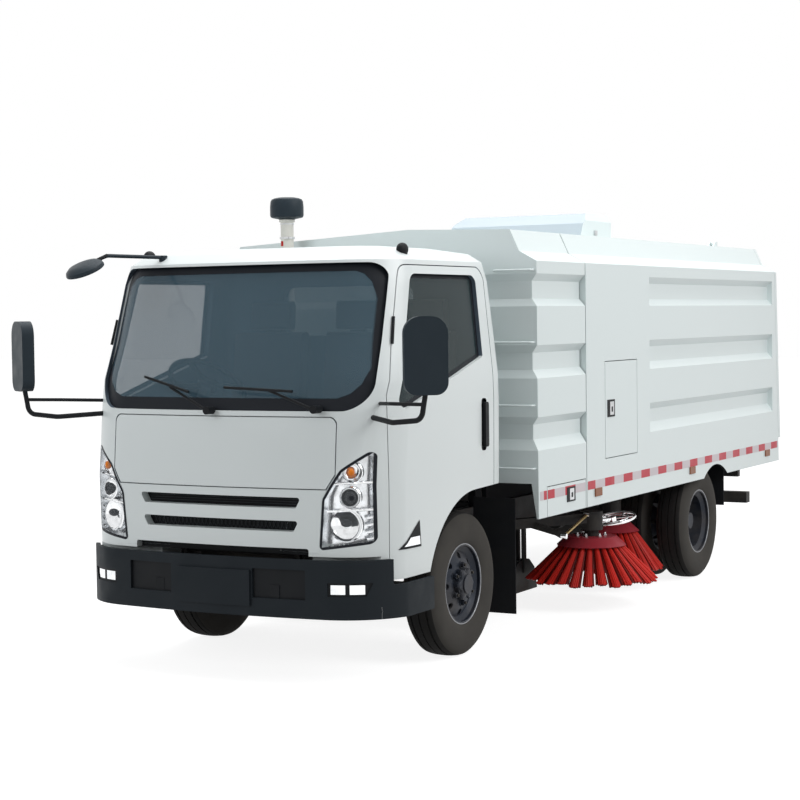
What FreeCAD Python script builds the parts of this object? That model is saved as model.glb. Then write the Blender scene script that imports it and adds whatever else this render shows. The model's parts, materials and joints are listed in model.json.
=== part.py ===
import FreeCAD, Part
import math
import os
from FreeCAD import Vector

# Street sweeper truck. Millimetres, +Z up, +X to the vehicle's left, front towards -Y.
# The model is built with y = 0 at the front axle and the ground at z = 0, and is moved along Y
# at the end, so that the origin lies on the ground under the middle of the whole vehicle.

# Overall layout
WHEELBASE = 3360.0
FRONT_REACH = 1330.0          # front axle to the tip of the front-view mirror
REAR_REACH = 5080.0           # front axle to the rear face of the tailgate
BODY_HALF = 1050.0            # half width over the body sides
ORIGIN_SHIFT = (FRONT_REACH - REAR_REACH) / 2.0

# Small clearances
SEAT_GAP = 0.3                # a fixed piece beside its seat
RUN_GAP = 0.05                # radial gap of a pin or shaft in its bore
PANEL_GAP = 5.0               # joint between neighbouring panels

# Wheels
TYRE_RADIUS = 387.5
TYRE_WIDTH = 200.0
RIM_RADIUS = 212.0
RIM_WALL = 9.0
FRONT_TRACK_HALF = 755.0      # centre of the front tyre
TWIN_MIDDLE = 760.0           # middle between the twin tyres
TWIN_SPACING = 270.0
AXLE_Z = TYRE_RADIUS

# Ladder frame
RAIL_OUT = 375.0
RAIL_FLANGE = 65.0
RAIL_WEB = 8.0
RAIL_LOW = 500.0
RAIL_TOP = 680.0
RAIL_FRONT = -880.0
RAIL_REAR = REAR_REACH - 220.0
MEMBER_LOW = RAIL_TOP - 70.0   # cross members between the rails
MEMBER_TOP = RAIL_TOP - 20.0
MEMBER_WIDTH = 60.0
TOW_Y = RAIL_REAR + 35.0       # upright bore for a towing pin
TOW_BORE = 14.0
BAR_FRONT = RAIL_REAR - 110.0  # front face of the under-run bar
BAR_ARM_TOP = 640.0
FRONT_FLAP_Y = 530.0
FLAP_SHEET = 8.0

# Springs and drive
SPRING_X = 343.0
SPRING_SEAT_Z = 402.0         # underside of the front springs
SPRING_LIFT = 57.0            # rear springs above the axle's centre
ENGINE_REAR = 350.0
GEARBOX_LENGTH = 520.0

# Steering
KINGPIN_X = 600.0
KINGPIN_RADIUS = 18.0
ARM_BACK = 205.0              # steering arm eye behind the axle
ROD_Z = 268.0                  # middle of the tie rod
JOINT_PIN = 10.0

# Cab
CAB_REAR = 330.0
CAB_WALL = 60.0
CAB_FLOOR = 915.0
CAB_TUNNEL_HALF = 460.0
CAB_TUNNEL_TOP = 770.0
CAB_TUNNEL_FRONT = -1000.0
CAB_LOW = 645.0               # underside ahead of the doors
ARCH_FRONT = -531.0           # front foot of the wheel arch
ARCH_CROWN = 888.0
ARCH_LEAN = 0.4               # slope of the arch's foot, run over rise
ARCH_RADIUS = 560.0
REBATE_DEPTH = 10.0           # lip behind a door's or lid's edge
REBATE_WIDTH = 15.0
SWING_GAP = 3.0               # room under the lid's inner step, which drops as it swings
HINGE_X = 884.0               # door hinge line, in the gap ahead of the door
DOOR_FRONT = -900.0
DOOR_REAR = 215.0
DOOR_LOW = 524.0
DOOR_TOP = 2085.0
BELT_Z = 1370.0
PIVOT_Y = -900.0
PIVOT_Z = 725.0
PIVOT_RADIUS = 12.0
PIVOT_LUG_X = 345.0
PIVOT_LUG_HALF = 12.0
PIVOT_EYE = 24.0
SCREEN_TOP_Y = -702.0         # door front edge beside the top of the windscreen
WHEEL_X = -450.0              # middle of the steering wheel
WHEEL_Y = -500.0
WHEEL_Z = 1465.0
WHEEL_TILT = 40.0
LID_HALF = 670.0
LID_LOW = 975.0
LID_TOP = 1335.0
FRONT_MIRROR_RADIUS = 110.0
GRILLE_LOW = 660.0
NOTCH_HALF = 520.0            # opening between the grille and the bumper
NOTCH_TOP = 682.0

# Bumper
BUMPER_LOW = 340.0
BUMPER_TOP = 632.0
BUMPER_WALL = 24.0
RECESS_DEPTH = 14.0
BLOCK_DEPTH = 12.0            # raised block in the bumper's middle
BLOCK_HALF = 215.0
FOG_SET_BACK = 6.0            # fog lamp face behind the bumper's skin
FOG_DEPTH = 38.0

# Body
HOUSING_FRONT = 520.0
SEAM_Y = 1215.0
SEAM_GAP = 10.0
HOPPER_REAR_TOP = REAR_REACH - 190.0
HOPPER_REAR_LOW = REAR_REACH - 90.0
GATE_THICK = 45.0
BODY_FLOOR = 885.0
FLOOR_THICK = 40.0
SKIRT_LOW = 690.0
FLAP_FRONT = 635.0            # opening flap in the front housing's skirt
FLAP_REAR = 1195.0
FLAP_TOP = 862.0
FLAP_LIP = BODY_HALF - 30.0
RUNG_LEVELS = [970.0, 1320.0, 1670.0, 2070.0]
RUNG_RADIUS = 6.0
RUNG_IN = 800.0
RUNG_OUT = 1030.0
HATCH_FRONT = 1500.0          # access door in the hopper's side
HATCH_REAR = 2030.0
HATCH_LOW = 953.0
HATCH_TOP = 1540.0
SIDE_TOP = 2120.0
EAVE_X = BODY_HALF - 160.0
EAVE_Z = 2297.0
CHAMFER_X = BODY_HALF - 105.0
CHAMFER_Z = 2177.0
CREST_X = 250.0
CREST_Z = 2315.0
FAR_EAVE_Z = 2250.0
RIB_DEPTH = 38.0
SIDE_SHEET = 30.0             # side wall left behind a rib's recess
RIB_START = 2250.0
RIB_LEVELS = [(2050.0, 2010.0, 1912.0, 1870.0), (1654.0, 1612.0, 1517.0, 1470.0),
              (1255.0, 1213.0, 1130.0, 1070.0)]
REAR_ARCH_Y = WHEELBASE + 160.0
REAR_ARCH_Z = 350.0
REAR_ARCH_RADIUS = 420.0
TIP_Y = REAR_REACH - 330.0
TIP_Z = 720.0
TIP_RADIUS = 20.0
BEARER_IN = 320.0
BEARER_OUT = 352.0
GATE_HINGE_Y = REAR_REACH - 155.0
GATE_HINGE_Z = 2345.0
GATE_ARM_X = 560.0
GATE_PIN = 11.0
HOIST_BASE = (2950.0, 540.0)            # y and z of the cylinder's lower pin
HOIST_EYE = (3900.0, 830.0)             # y and z of its upper pin, body down
HOIST_BORE = 25.0
HOIST_PIN = 16.0

# Sweeping gear
FRONT_BRUSH = (780.0, 1920.0, 420.0)    # x, y and tip radius of the front brush
REAR_BRUSH = (600.0, 2680.0, 355.0)
FRONT_ARM_Y = 1330.0
FRONT_ARM_Z = 600.0
REAR_ARM_X = 420.0
REAR_ARM_Z = 560.0
ARM_PIN = 20.0
DISC_Z = 380.0
DISC_SIDES = 14
DISC_HEIGHT = 55.0
DISC_TAPER = 60.0
BUNDLES = 28                   # bristle bundles round a brush
BUNDLE_FOOT = 40.0             # width of a bundle in the disc and at its tip
BUNDLE_TIP = 80.0
BUNDLE_SLENDER = 0.2           # a bundle's thickness, as a share of its width
TIP_STEP = 7.0                 # difference in length between neighbouring bundles
HEAD_Z = 474.0
HEAD_RADIUS = 72.0
GUARD_AT = (80.0, 154.0, 527.0)         # polished ring, from the front brush's axis, and its height
GUARD_RADIUS = 145.0
GUARD_TUBE = 9.0
GUARD_INNER = 98.0
GUARD_TILT = 12.0
STRUT_RADIUS = 9.0
STRUT_LOW = (1490.0, 479.0)             # y and z of the strut's ends, in line with the front brush
STRUT_HIGH = (1850.0, 571.0)
NOZZLE = (185.0, 1900.0, 95.0)          # x, y and bore of the suction duct


def box(x0, x1, y0, y1, z0, z1):
    return Part.makeBox(x1 - x0, y1 - y0, z1 - z0, Vector(x0, y0, z0))


def side_box(side, x0, x1, y0, y1, z0, z1):
    """Box given by its left-hand x values; side is +1 on the left and -1 on the right."""
    low, high = sorted((side * x0, side * x1))
    return box(low, high, y0, y1, z0, z1)


def rod(radius, start, end):
    a, b = Vector(*start), Vector(*end)
    return Part.makeCylinder(radius, (b - a).Length, a, b - a)


def tube(outer, inner, start, end):
    return rod(outer, start, end).cut(rod(inner, start, end))


def mirrored(shape):
    return shape.mirror(Vector(0, 0, 0), Vector(1, 0, 0))


def join(shapes):
    result = shapes[0].multiFuse(shapes[1:]) if len(shapes) > 1 else shapes[0]
    return result.removeSplitter()


def outline(points, radius, place):
    """Closed wire through 2D points, each corner rounded; place turns (u, v) into a 3D point."""
    count = len(points)
    radii = radius if isinstance(radius, list) else [radius] * count
    corners = []
    for i in range(count):
        here = Vector(points[i][0], points[i][1], 0)
        before = Vector(points[i - 1][0], points[i - 1][1], 0) - here
        after = Vector(points[(i + 1) % count][0], points[(i + 1) % count][1], 0) - here
        if radii[i] <= 0:
            corners.append((here, here, here))
            continue
        before.normalize()
        after.normalize()
        half = before.getAngle(after) / 2.0
        reach = radii[i] / math.tan(half)
        middle = before + after
        middle.normalize()
        centre = here + middle * (radii[i] / math.sin(half))
        corners.append((here + before * reach, centre - middle * radii[i], here + after * reach))
    edges = []
    for i in range(count):
        start, mid, end = [place(p.x, p.y) for p in corners[i]]
        if radii[i] > 0:
            edges.append(Part.Arc(start, mid, end).toShape())
        following = corners[(i + 1) % count][0]
        edges.append(Part.makeLine(end, place(following.x, following.y)))
    return Part.Wire(edges)


def along_x(points, x0, x1, radius=0):
    """Side-view outline of (y, z) points, as a solid from x0 to x1."""
    wire = outline(points, radius, lambda u, v: Vector(x0, u, v))
    return Part.Face(wire).extrude(Vector(x1 - x0, 0, 0))


def along_y(points, y0, y1, radius=0):
    """Front-view outline of (x, z) points, as a solid from y0 to y1."""
    wire = outline(points, radius, lambda u, v: Vector(u, y0, v))
    return Part.Face(wire).extrude(Vector(0, y1 - y0, 0))


def along_z(points, z0, z1, radius=0):
    """Plan outline of (x, y) points, as a solid from z0 to z1."""
    wire = outline(points, radius, lambda u, v: Vector(u, v, z0))
    return Part.Face(wire).extrude(Vector(0, 0, z1 - z0))


def spun_x(points, x_mid, y, z):
    """Solid turned about an axle along X; points are (offset along X, radius)."""
    wire = outline(points, 0, lambda u, v: Vector(x_mid + u, y, z + v))
    return Part.Face(wire).revolve(Vector(x_mid, y, z), Vector(1, 0, 0), 360)


def pipe(points, radius, bend):
    """Round tube along a path with rounded corners."""
    edges = []
    last = Vector(*points[0])
    for i in range(1, len(points)):
        here = Vector(*points[i])
        if i == len(points) - 1:
            edges.append(Part.makeLine(last, here))
            continue
        before = Vector(*points[i - 1]) - here
        after = Vector(*points[i + 1]) - here
        before.normalize()
        after.normalize()
        half = before.getAngle(after) / 2.0
        reach = bend / math.tan(half)
        middle = before + after
        middle.normalize()
        centre = here + middle * (bend / math.sin(half))
        edges.append(Part.makeLine(last, here + before * reach))
        edges.append(Part.Arc(here + before * reach, centre - middle * bend, here + after * reach).toShape())
        last = here + after * reach
    path = Part.Wire(edges)
    first = Vector(*points[1]) - Vector(*points[0])
    ring = Part.Wire(Part.makeCircle(radius, Vector(*points[0]), first))
    return path.makePipeShell([ring], True, True)


# Cab shape: plan outlines at several heights, each (z, front middle y, bow end, corner middle, side start,
# rear y), where the last three points of the front are (x, y)
CAB_SECTIONS = [
    (500.0, -1092.0, (620.0, -1055.0), (825.0, -957.0), (915.0, -790.0), CAB_REAR),
    (1000.0, -1105.0, (620.0, -1065.0), (828.0, -966.0), (925.0, -790.0), CAB_REAR),
    (BELT_Z, -1078.0, (620.0, -1035.0), (828.0, -930.0), (928.0, -750.0), CAB_REAR),
    (1510.0, -1045.0, (618.0, -1004.0), (830.0, -905.0), (924.0, -720.0), CAB_REAR),
    (1700.0, -985.0, (610.0, -945.0), (815.0, -840.0), (905.0, -660.0), CAB_REAR - 6.0),
    (2010.0, -892.0, (598.0, -855.0), (796.0, -752.0), (872.0, -590.0), CAB_REAR - 20.0),
    (2110.0, -860.0, (585.0, -825.0), (772.0, -730.0), (848.0, -575.0), CAB_REAR - 35.0),
    (2155.0, -800.0, (545.0, -770.0), (715.0, -690.0), (785.0, -540.0), CAB_REAR - 70.0),
    (2187.0, -620.0, (430.0, -600.0), (550.0, -545.0), (600.0, -440.0), CAB_REAR - 180.0),
]
REAR_CORNER = 70.0


def cab_outline(section, inset):
    """Plan wire of the cab at one height, moved inwards by inset."""
    z, middle_y, bow, corner, side, rear = section
    slant = inset * math.sqrt(0.5)
    front = Vector(0, middle_y + inset, z)
    bow_x, bow_y = bow[0] - 0.25 * inset, bow[1] + inset
    mid_x, mid_y = corner[0] - slant, corner[1] + slant
    side_x, side_y = side[0] - inset, side[1] + 0.3 * inset
    back = rear - inset
    turn = REAR_CORNER - inset * 0.5
    soft = turn * (1.0 - math.sqrt(0.5))
    edges = [
        Part.Arc(Vector(-bow_x, bow_y, z), front, Vector(bow_x, bow_y, z)).toShape(),
        Part.Arc(Vector(bow_x, bow_y, z), Vector(mid_x, mid_y, z), Vector(side_x, side_y, z)).toShape(),
        Part.makeLine(Vector(side_x, side_y, z), Vector(side_x, back - turn, z)),
        Part.Arc(Vector(side_x, back - turn, z), Vector(side_x - soft, back - soft, z),
                 Vector(side_x - turn, back, z)).toShape(),
        Part.makeLine(Vector(side_x - turn, back, z), Vector(turn - side_x, back, z)),
        Part.Arc(Vector(turn - side_x, back, z), Vector(soft - side_x, back - soft, z),
                 Vector(-side_x, back - turn, z)).toShape(),
        Part.makeLine(Vector(-side_x, back - turn, z), Vector(-side_x, side_y, z)),
        Part.Arc(Vector(-side_x, side_y, z), Vector(-mid_x, mid_y, z), Vector(-bow_x, bow_y, z)).toShape(),
    ]
    return Part.Wire(edges)


def cab_volume(inset, top_drop):
    """The cab's outer form, or the same form moved inwards by inset with its roof lowered by top_drop."""
    wires = []
    for section in CAB_SECTIONS:
        z = section[0]
        lowered = (z - top_drop if z > 2050.0 else z,) + section[1:]
        wires.append(cab_outline(lowered, inset))
    return Part.makeLoft(wires, True, True)


def cab_profile(wall):
    """Side view of the space above the cab's underside, with its wheel arch; wall moves it inwards."""
    floor = CAB_FLOOR + wall + 10.0 if wall > 0 else CAB_FLOOR
    crown = floor if wall > 0 else ARCH_CROWN
    foot = ARCH_FRONT - wall * 0.67
    top = foot + ARCH_LEAN * (crown - DOOR_LOW - wall)
    points = [(-1300.0, CAB_LOW + wall), (-930.0 + wall, CAB_LOW + wall), (-930.0 + wall, DOOR_LOW + wall),
              (foot, DOOR_LOW + wall), (top, crown), (500.0, floor), (500.0, 2400.0), (-1300.0, 2400.0)]
    return along_x(points, -1200.0, 1200.0, [0, 0, 0, 0, ARCH_RADIUS, 0, 0, 0])


def cab_tunnel(wall):
    """Room over the frame between the two foot wells."""
    return box(-CAB_TUNNEL_HALF - wall, CAB_TUNNEL_HALF + wall, CAB_TUNNEL_FRONT - wall, CAB_REAR, 300.0,
               CAB_TUNNEL_TOP + wall)


def ahead_of_door(gap):
    """Everything in front of the doors' front edges."""
    return along_x([(-1400.0, 300.0), (DOOR_FRONT - gap, 300.0), (DOOR_FRONT - gap, BELT_Z),
                    (SCREEN_TOP_Y - gap, 2010.0), (SCREEN_TOP_Y + 34.0 - gap, DOOR_TOP),
                    (SCREEN_TOP_Y + 60.0 - gap, 2200.0), (-1400.0, 2200.0)], -1200.0, 1200.0)


def door_region(gap):
    """Side view of the left door's outline, from inside the wall to well outside."""
    return along_x([(DOOR_FRONT + gap, 400.0), (DOOR_FRONT + gap, BELT_Z), (SCREEN_TOP_Y + gap, 2010.0),
                    (SCREEN_TOP_Y + 34.0 + gap, DOOR_TOP - gap), (DOOR_REAR - gap, DOOR_TOP - gap),
                    (DOOR_REAR - gap, 400.0)], 500.0, 1200.0, [0, 0, 0, 60.0, 70.0, 0])


def behind_hinge(gap):
    """Everything behind the tapered front edge of the left door."""
    return along_z([(HINGE_X + 60.0, DOOR_FRONT + gap - 60.0), (HINGE_X + 400.0, DOOR_FRONT + gap - 60.0),
                    (HINGE_X + 400.0, 600.0), (400.0, 600.0), (400.0, DOOR_FRONT + gap + HINGE_X - 400.0)],
                   300.0, 2300.0)


def side_window(gap):
    return along_x([(-838.0 + gap, 1350.0 + gap), (-612.0 + gap, 2038.0 - gap), (115.0 - gap, 2038.0 - gap),
                    (106.0 - gap, 1602.0 + gap)], 500.0, 1200.0, [40.0, 60.0, 50.0, 15.0])


def windscreen_region(gap):
    return along_y([(-830.0 + gap, 1360.0 + gap), (830.0 - gap, 1360.0 + gap), (806.0 - gap, 2095.0 - gap),
                    (-806.0 + gap, 2095.0 - gap)], -1400.0, -500.0,
                   [150.0, 150.0, 90.0, 90.0]).common(ahead_of_door(15.0 + gap))


def rear_window(gap):
    return along_y([(-420.0 + gap, 1720.0 + gap), (420.0 - gap, 1720.0 + gap), (420.0 - gap, 1995.0 - gap),
                    (-420.0 + gap, 1995.0 - gap)], 100.0, 500.0, 45.0)


def lid_region(gap):
    region = along_y([(-LID_HALF + gap, LID_LOW + gap), (LID_HALF - gap, LID_LOW + gap),
                      (LID_HALF - gap, LID_TOP - gap), (-LID_HALF + gap, LID_TOP - gap)], -1400.0, -850.0,
                     [15.0, 15.0, 40.0, 40.0])
    lamp = lamp_region(-2.0 - gap)
    return region.cut(lamp).cut(mirrored(lamp))


def grille_region(gap):
    region = along_y([(-575.0 + gap, GRILLE_LOW + gap), (575.0 - gap, GRILLE_LOW + gap),
                      (700.0 - gap, LID_LOW - gap), (-700.0 + gap, LID_LOW - gap)], -1400.0, -930.0)
    lamp = lamp_region(-2.0 - gap)
    return region.cut(lamp).cut(mirrored(lamp))


def grille_slots():
    """The two openings in the grille, and the notch above the bumper."""
    slots = [along_y([(-NOTCH_HALF, 600.0), (NOTCH_HALF, 600.0), (NOTCH_HALF, NOTCH_TOP),
                      (-NOTCH_HALF, NOTCH_TOP)], -1400.0, -1025.0, [0, 0, 12.0, 12.0])]
    for low, high, half in ((882.0, 935.0, 485.0), (765.0, 818.0, 470.0)):
        slots.append(along_y([(-half + 30.0, low), (half - 30.0, low), (half, high), (-half, high)],
                             -1400.0, -1025.0, 12.0))
    return slots


LAMP_POINTS = [(578.0, 676.0), (843.0, 712.0), (843.0, 1185.0), (690.0, 1075.0), (600.0, 930.0)]


def lamp_region(gap):
    centre_x = 725.0
    centre_z = 900.0
    shape = []
    for x, z in LAMP_POINTS:
        shape.append((x + (gap if x < centre_x else -gap), z + (gap if z < centre_z else -gap)))
    region = along_y(shape, -1400.0, -850.0, [20.0, 40.0, 25.0, 60.0, 60.0])
    return region.common(ahead_of_door(6.0 + gap))


def build_cab(parts):
    outer = cab_volume(0.0, 0.0).common(cab_profile(0.0))
    inner = cab_volume(CAB_WALL, CAB_WALL)
    lip = CAB_WALL - REBATE_DEPTH
    lip_volume = cab_volume(lip, lip)
    lip_room = cab_volume(lip - SEAT_GAP, lip - SEAT_GAP)
    skin = outer.cut(inner)
    cavity = inner.common(cab_profile(CAB_WALL))
    shell = outer.cut(cavity.cut(cab_tunnel(CAB_WALL))).cut(cab_tunnel(0.0))

    left_door = skin.common(door_region(PANEL_GAP)).common(behind_hinge(PANEL_GAP))
    left_door = left_door.cut(lip_room.cut(door_region(REBATE_WIDTH + SEAT_GAP)))
    left_hole = skin.common(door_region(0.0)).common(behind_hinge(0.0))
    left_hole = left_hole.cut(lip_volume.cut(door_region(REBATE_WIDTH)))
    shell = shell.cut(left_hole).cut(mirrored(left_hole))
    glass_layer = cab_volume(22.0, 22.0).cut(cab_volume(28.0, 28.0))
    door = left_door.cut(side_window(0.0))
    handle = along_x([(72.0, 1120.0), (110.0, 1120.0), (110.0, 1360.0), (72.0, 1360.0)], 926.0, 948.0,
                     14.0)
    recess = along_x([(60.0, 1100.0), (122.0, 1100.0), (122.0, 1380.0), (60.0, 1380.0)], 912.0, 960.0,
                     20.0)
    door = door.cut(recess)
    grip = handle.fuse(box(905.0, 930.0, 82.0, 100.0, 1330.0, 1350.0))
    door = join([door, grip.fuse(box(905.0, 930.0, 82.0, 100.0, 1130.0, 1150.0))])
    glass = glass_layer.common(side_window(SEAT_GAP))
    parts["door_left"] = door
    parts["door_right"] = mirrored(door)
    parts["door_glass_left"] = glass
    parts["door_glass_right"] = mirrored(glass)

    step = lid_region(REBATE_WIDTH + SEAT_GAP)
    raised = step.copy()
    raised.translate(Vector(0, 0, SWING_GAP))
    lid = skin.common(lid_region(PANEL_GAP)).cut(lip_room.cut(step.common(raised)))
    lid_hole = skin.common(lid_region(0.0)).cut(lip_volume.cut(lid_region(REBATE_WIDTH)))
    shell = shell.cut(lid_hole)
    parts["front_lid"] = lid

    grille = skin.common(grille_region(SEAT_GAP))
    shell = shell.cut(skin.common(grille_region(0.0)))
    for slot in grille_slots():
        grille = grille.cut(slot)
        shell = shell.cut(slot)
    parts["grille"] = grille

    lamp = skin.common(lamp_region(SEAT_GAP))
    lamp_hole = skin.common(lamp_region(0.0))
    shell = shell.cut(lamp_hole).cut(mirrored(lamp_hole))
    parts["headlamps"] = Part.makeCompound([lamp, mirrored(lamp)])

    screen = glass_layer.common(windscreen_region(SEAT_GAP))
    back_pane = glass_layer.common(rear_window(SEAT_GAP))
    shell = shell.cut(skin.common(windscreen_region(0.0))).cut(skin.common(rear_window(0.0)))
    parts["cab_glass"] = Part.makeCompound([screen, back_pane])
    ears = []
    for side in (-1.0, 1.0):
        x0, x1 = sorted((side * (PIVOT_LUG_X + 18.0), side * (PIVOT_LUG_X + 34.0)))
        ears.append(box(x0, x1, PIVOT_Y - 15.0, PIVOT_Y + 15.0, PIVOT_Z, CAB_TUNNEL_TOP + 10.0))
        ears.append(rod(15.0, (x0, PIVOT_Y, PIVOT_Z), (x1, PIVOT_Y, PIVOT_Z)))
        ears.append(rod(PIVOT_RADIUS, (side * (PIVOT_LUG_X - 20.0), PIVOT_Y, PIVOT_Z),
                        (side * (PIVOT_LUG_X + 34.0), PIVOT_Y, PIVOT_Z)))
    parts["cab_shell"] = join([shell] + ears)


def build_cab_fittings(parts):
    inner = cab_volume(CAB_WALL + SEAT_GAP, CAB_WALL)
    dash = along_x([(-1060.0, 1090.0), (-760.0, 1090.0), (-690.0, 1240.0), (-760.0, 1345.0),
                    (-1060.0, 1345.0)], -830.0, 830.0, [0, 20.0, 40.0, 40.0, 0])
    dash = dash.common(inner)
    tilt = math.radians(WHEEL_TILT)
    start, end = 330.0, 20.0 + SEAT_GAP
    column = rod(28.0, (WHEEL_X, WHEEL_Y - start * math.sin(tilt), WHEEL_Z - start * math.cos(tilt)),
                 (WHEEL_X, WHEEL_Y - end * math.sin(tilt), WHEEL_Z - end * math.cos(tilt)))
    parts["dashboard"] = join([dash, column])

    seats = []
    for x0, x1 in ((-690.0, -220.0), (-80.0, 300.0), (330.0, 720.0)):
        base = along_x([(-340.0, 1140.0), (120.0, 1140.0), (120.0, 1250.0), (-340.0, 1290.0)], x0, x1, 30.0)
        back = along_x([(60.0, 1230.0), (150.0, 1230.0), (215.0, 1740.0), (135.0, 1740.0)], x0 + 10.0,
                       x1 - 10.0, 30.0)
        middle = (x0 + x1) / 2.0
        head = along_x([(150.0, 1755.0), (215.0, 1755.0), (225.0, 1915.0), (165.0, 1915.0)], middle - 130.0,
                       middle + 130.0, 25.0)
        stem = box(middle - 50.0, middle + 50.0, 172.0, 192.0, 1730.0, 1765.0)
        foot = box(x0 + 50.0, x1 - 50.0, -180.0, 80.0, CAB_FLOOR + CAB_WALL + 10.0 + SEAT_GAP, 1145.0)
        seats.append(join([base, back, head, stem, foot]))
    parts["seats"] = Part.makeCompound(seats)

    wheel = Part.makeTorus(212.0, 14.0)
    hub = Part.makeCylinder(55.0, 40.0, Vector(0, 0, -20.0))
    spokes = [box(-205.0, 205.0, -16.0, 16.0, -9.0, 3.0), box(-16.0, 16.0, -205.0, 0.0, -9.0, 3.0)]
    wheel = join([wheel, hub] + spokes)
    wheel.rotate(Vector(0, 0, 0), Vector(1, 0, 0), -WHEEL_TILT)
    wheel.translate(Vector(WHEEL_X, WHEEL_Y, WHEEL_Z))
    parts["steering_wheel"] = wheel

    arms = []
    low = pipe([(800.0, -920.0, 1330.0), (1010.0, -1085.0, 1315.0), (1180.0, -1110.0, 1330.0),
                (1205.0, -1112.0, 1460.0)], 13.0, 50.0)
    high = pipe([(820.0, -880.0, 1395.0), (1000.0, -1075.0, 1405.0), (1190.0, -1111.0, 1405.0)], 9.0, 60.0)
    head = along_y([(1100.0, 1450.0), (1310.0, 1450.0), (1310.0, 1822.0), (1100.0, 1822.0)], -1150.0, -1085.0,
                   [60.0, 60.0, 80.0, 80.0])
    left = join([low.cut(cab_volume(-SEAT_GAP, 0.0)), high.cut(cab_volume(-SEAT_GAP, 0.0)), head])
    arms.append(left)
    arms.append(mirrored(left))
    facing = Vector(0.2, 0.97, -0.25)
    facing.normalize()
    disc_y = FRONT_MIRROR_RADIUS * math.sqrt(1.0 - facing.y ** 2) - FRONT_REACH
    front_disc = Part.makeCylinder(FRONT_MIRROR_RADIUS, 45.0, Vector(-700.0, disc_y, 2092.0), facing)
    front_arm = pipe([(-700.0, -1250.0, 2085.0), (-640.0, -1120.0, 2155.0), (-520.0, -790.0, 2150.0)],
                     10.0, 60.0)
    front_arm = front_arm.fuse(rod(22.0, (-520.0, -790.0, 2110.0), (-520.0, -790.0, 2160.0)))
    arms.append(join([front_disc, front_arm.cut(cab_volume(-SEAT_GAP, 0.0))]))
    parts["mirrors"] = Part.makeCompound(arms)

    wipers = []
    for pivot, elbow, ends in (
            ((-30.0, -1135.0, 1362.0), (-260.0, -1085.0, 1478.0), ((-420.0, 1530.0), (-140.0, 1455.0))),
            ((575.0, -1100.0, 1372.0), (320.0, -1078.0, 1468.0), ((60.0, 1478.0), (470.0, 1462.0)))):
        boss = rod(20.0, (pivot[0], pivot[1] + 90.0, pivot[2]), (pivot[0], pivot[1], pivot[2]))
        boss = boss.cut(cab_volume(-SEAT_GAP, 0.0))
        arm = rod(7.0, (pivot[0], pivot[1] + 8.0, pivot[2]), (elbow[0], elbow[1] - 30.0, elbow[2]))
        blade = rod(7.0, (ends[0][0], elbow[1] - 24.0, ends[0][1]), (ends[1][0], elbow[1] - 40.0, ends[1][1]))
        wipers.append(join([boss, arm, blade]))
    parts["wipers"] = Part.makeCompound(wipers)


def bumper_volume(inset, z0, z1):
    """Plan shape of the bumper, moved inwards by inset, between two heights."""
    front = Vector(0, -1135.0 + inset, z0)
    bow = (600.0, -1098.0 + inset)
    mid = (846.0 - 0.7 * inset, -986.0 + 0.7 * inset)
    side = (945.0 - inset, -820.0 + 0.3 * inset)
    rear = -545.0
    edges = [Part.Arc(Vector(-bow[0], bow[1], z0), front, Vector(bow[0], bow[1], z0)).toShape(),
             Part.Arc(Vector(bow[0], bow[1], z0), Vector(mid[0], mid[1], z0),
                      Vector(side[0], side[1], z0)).toShape(),
             Part.makeLine(Vector(side[0], side[1], z0), Vector(side[0], rear, z0)),
             Part.makeLine(Vector(side[0], rear, z0), Vector(-side[0], rear, z0)),
             Part.makeLine(Vector(-side[0], rear, z0), Vector(-side[0], side[1], z0)),
             Part.Arc(Vector(-side[0], side[1], z0), Vector(-mid[0], mid[1], z0),
                      Vector(-bow[0], bow[1], z0)).toShape()]
    return Part.Face(Part.Wire(edges)).extrude(Vector(0, 0, z1 - z0))


def fog_lamp_region(gap):
    """Front view of the left fog lamp, wider at its top."""
    return along_y([(638.0 + gap, 455.0 + gap), (813.0 - gap, 455.0 + gap), (841.0 - gap, 522.0 - gap),
                    (638.0 + gap, 522.0 - gap)], -1200.0, -900.0)


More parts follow.
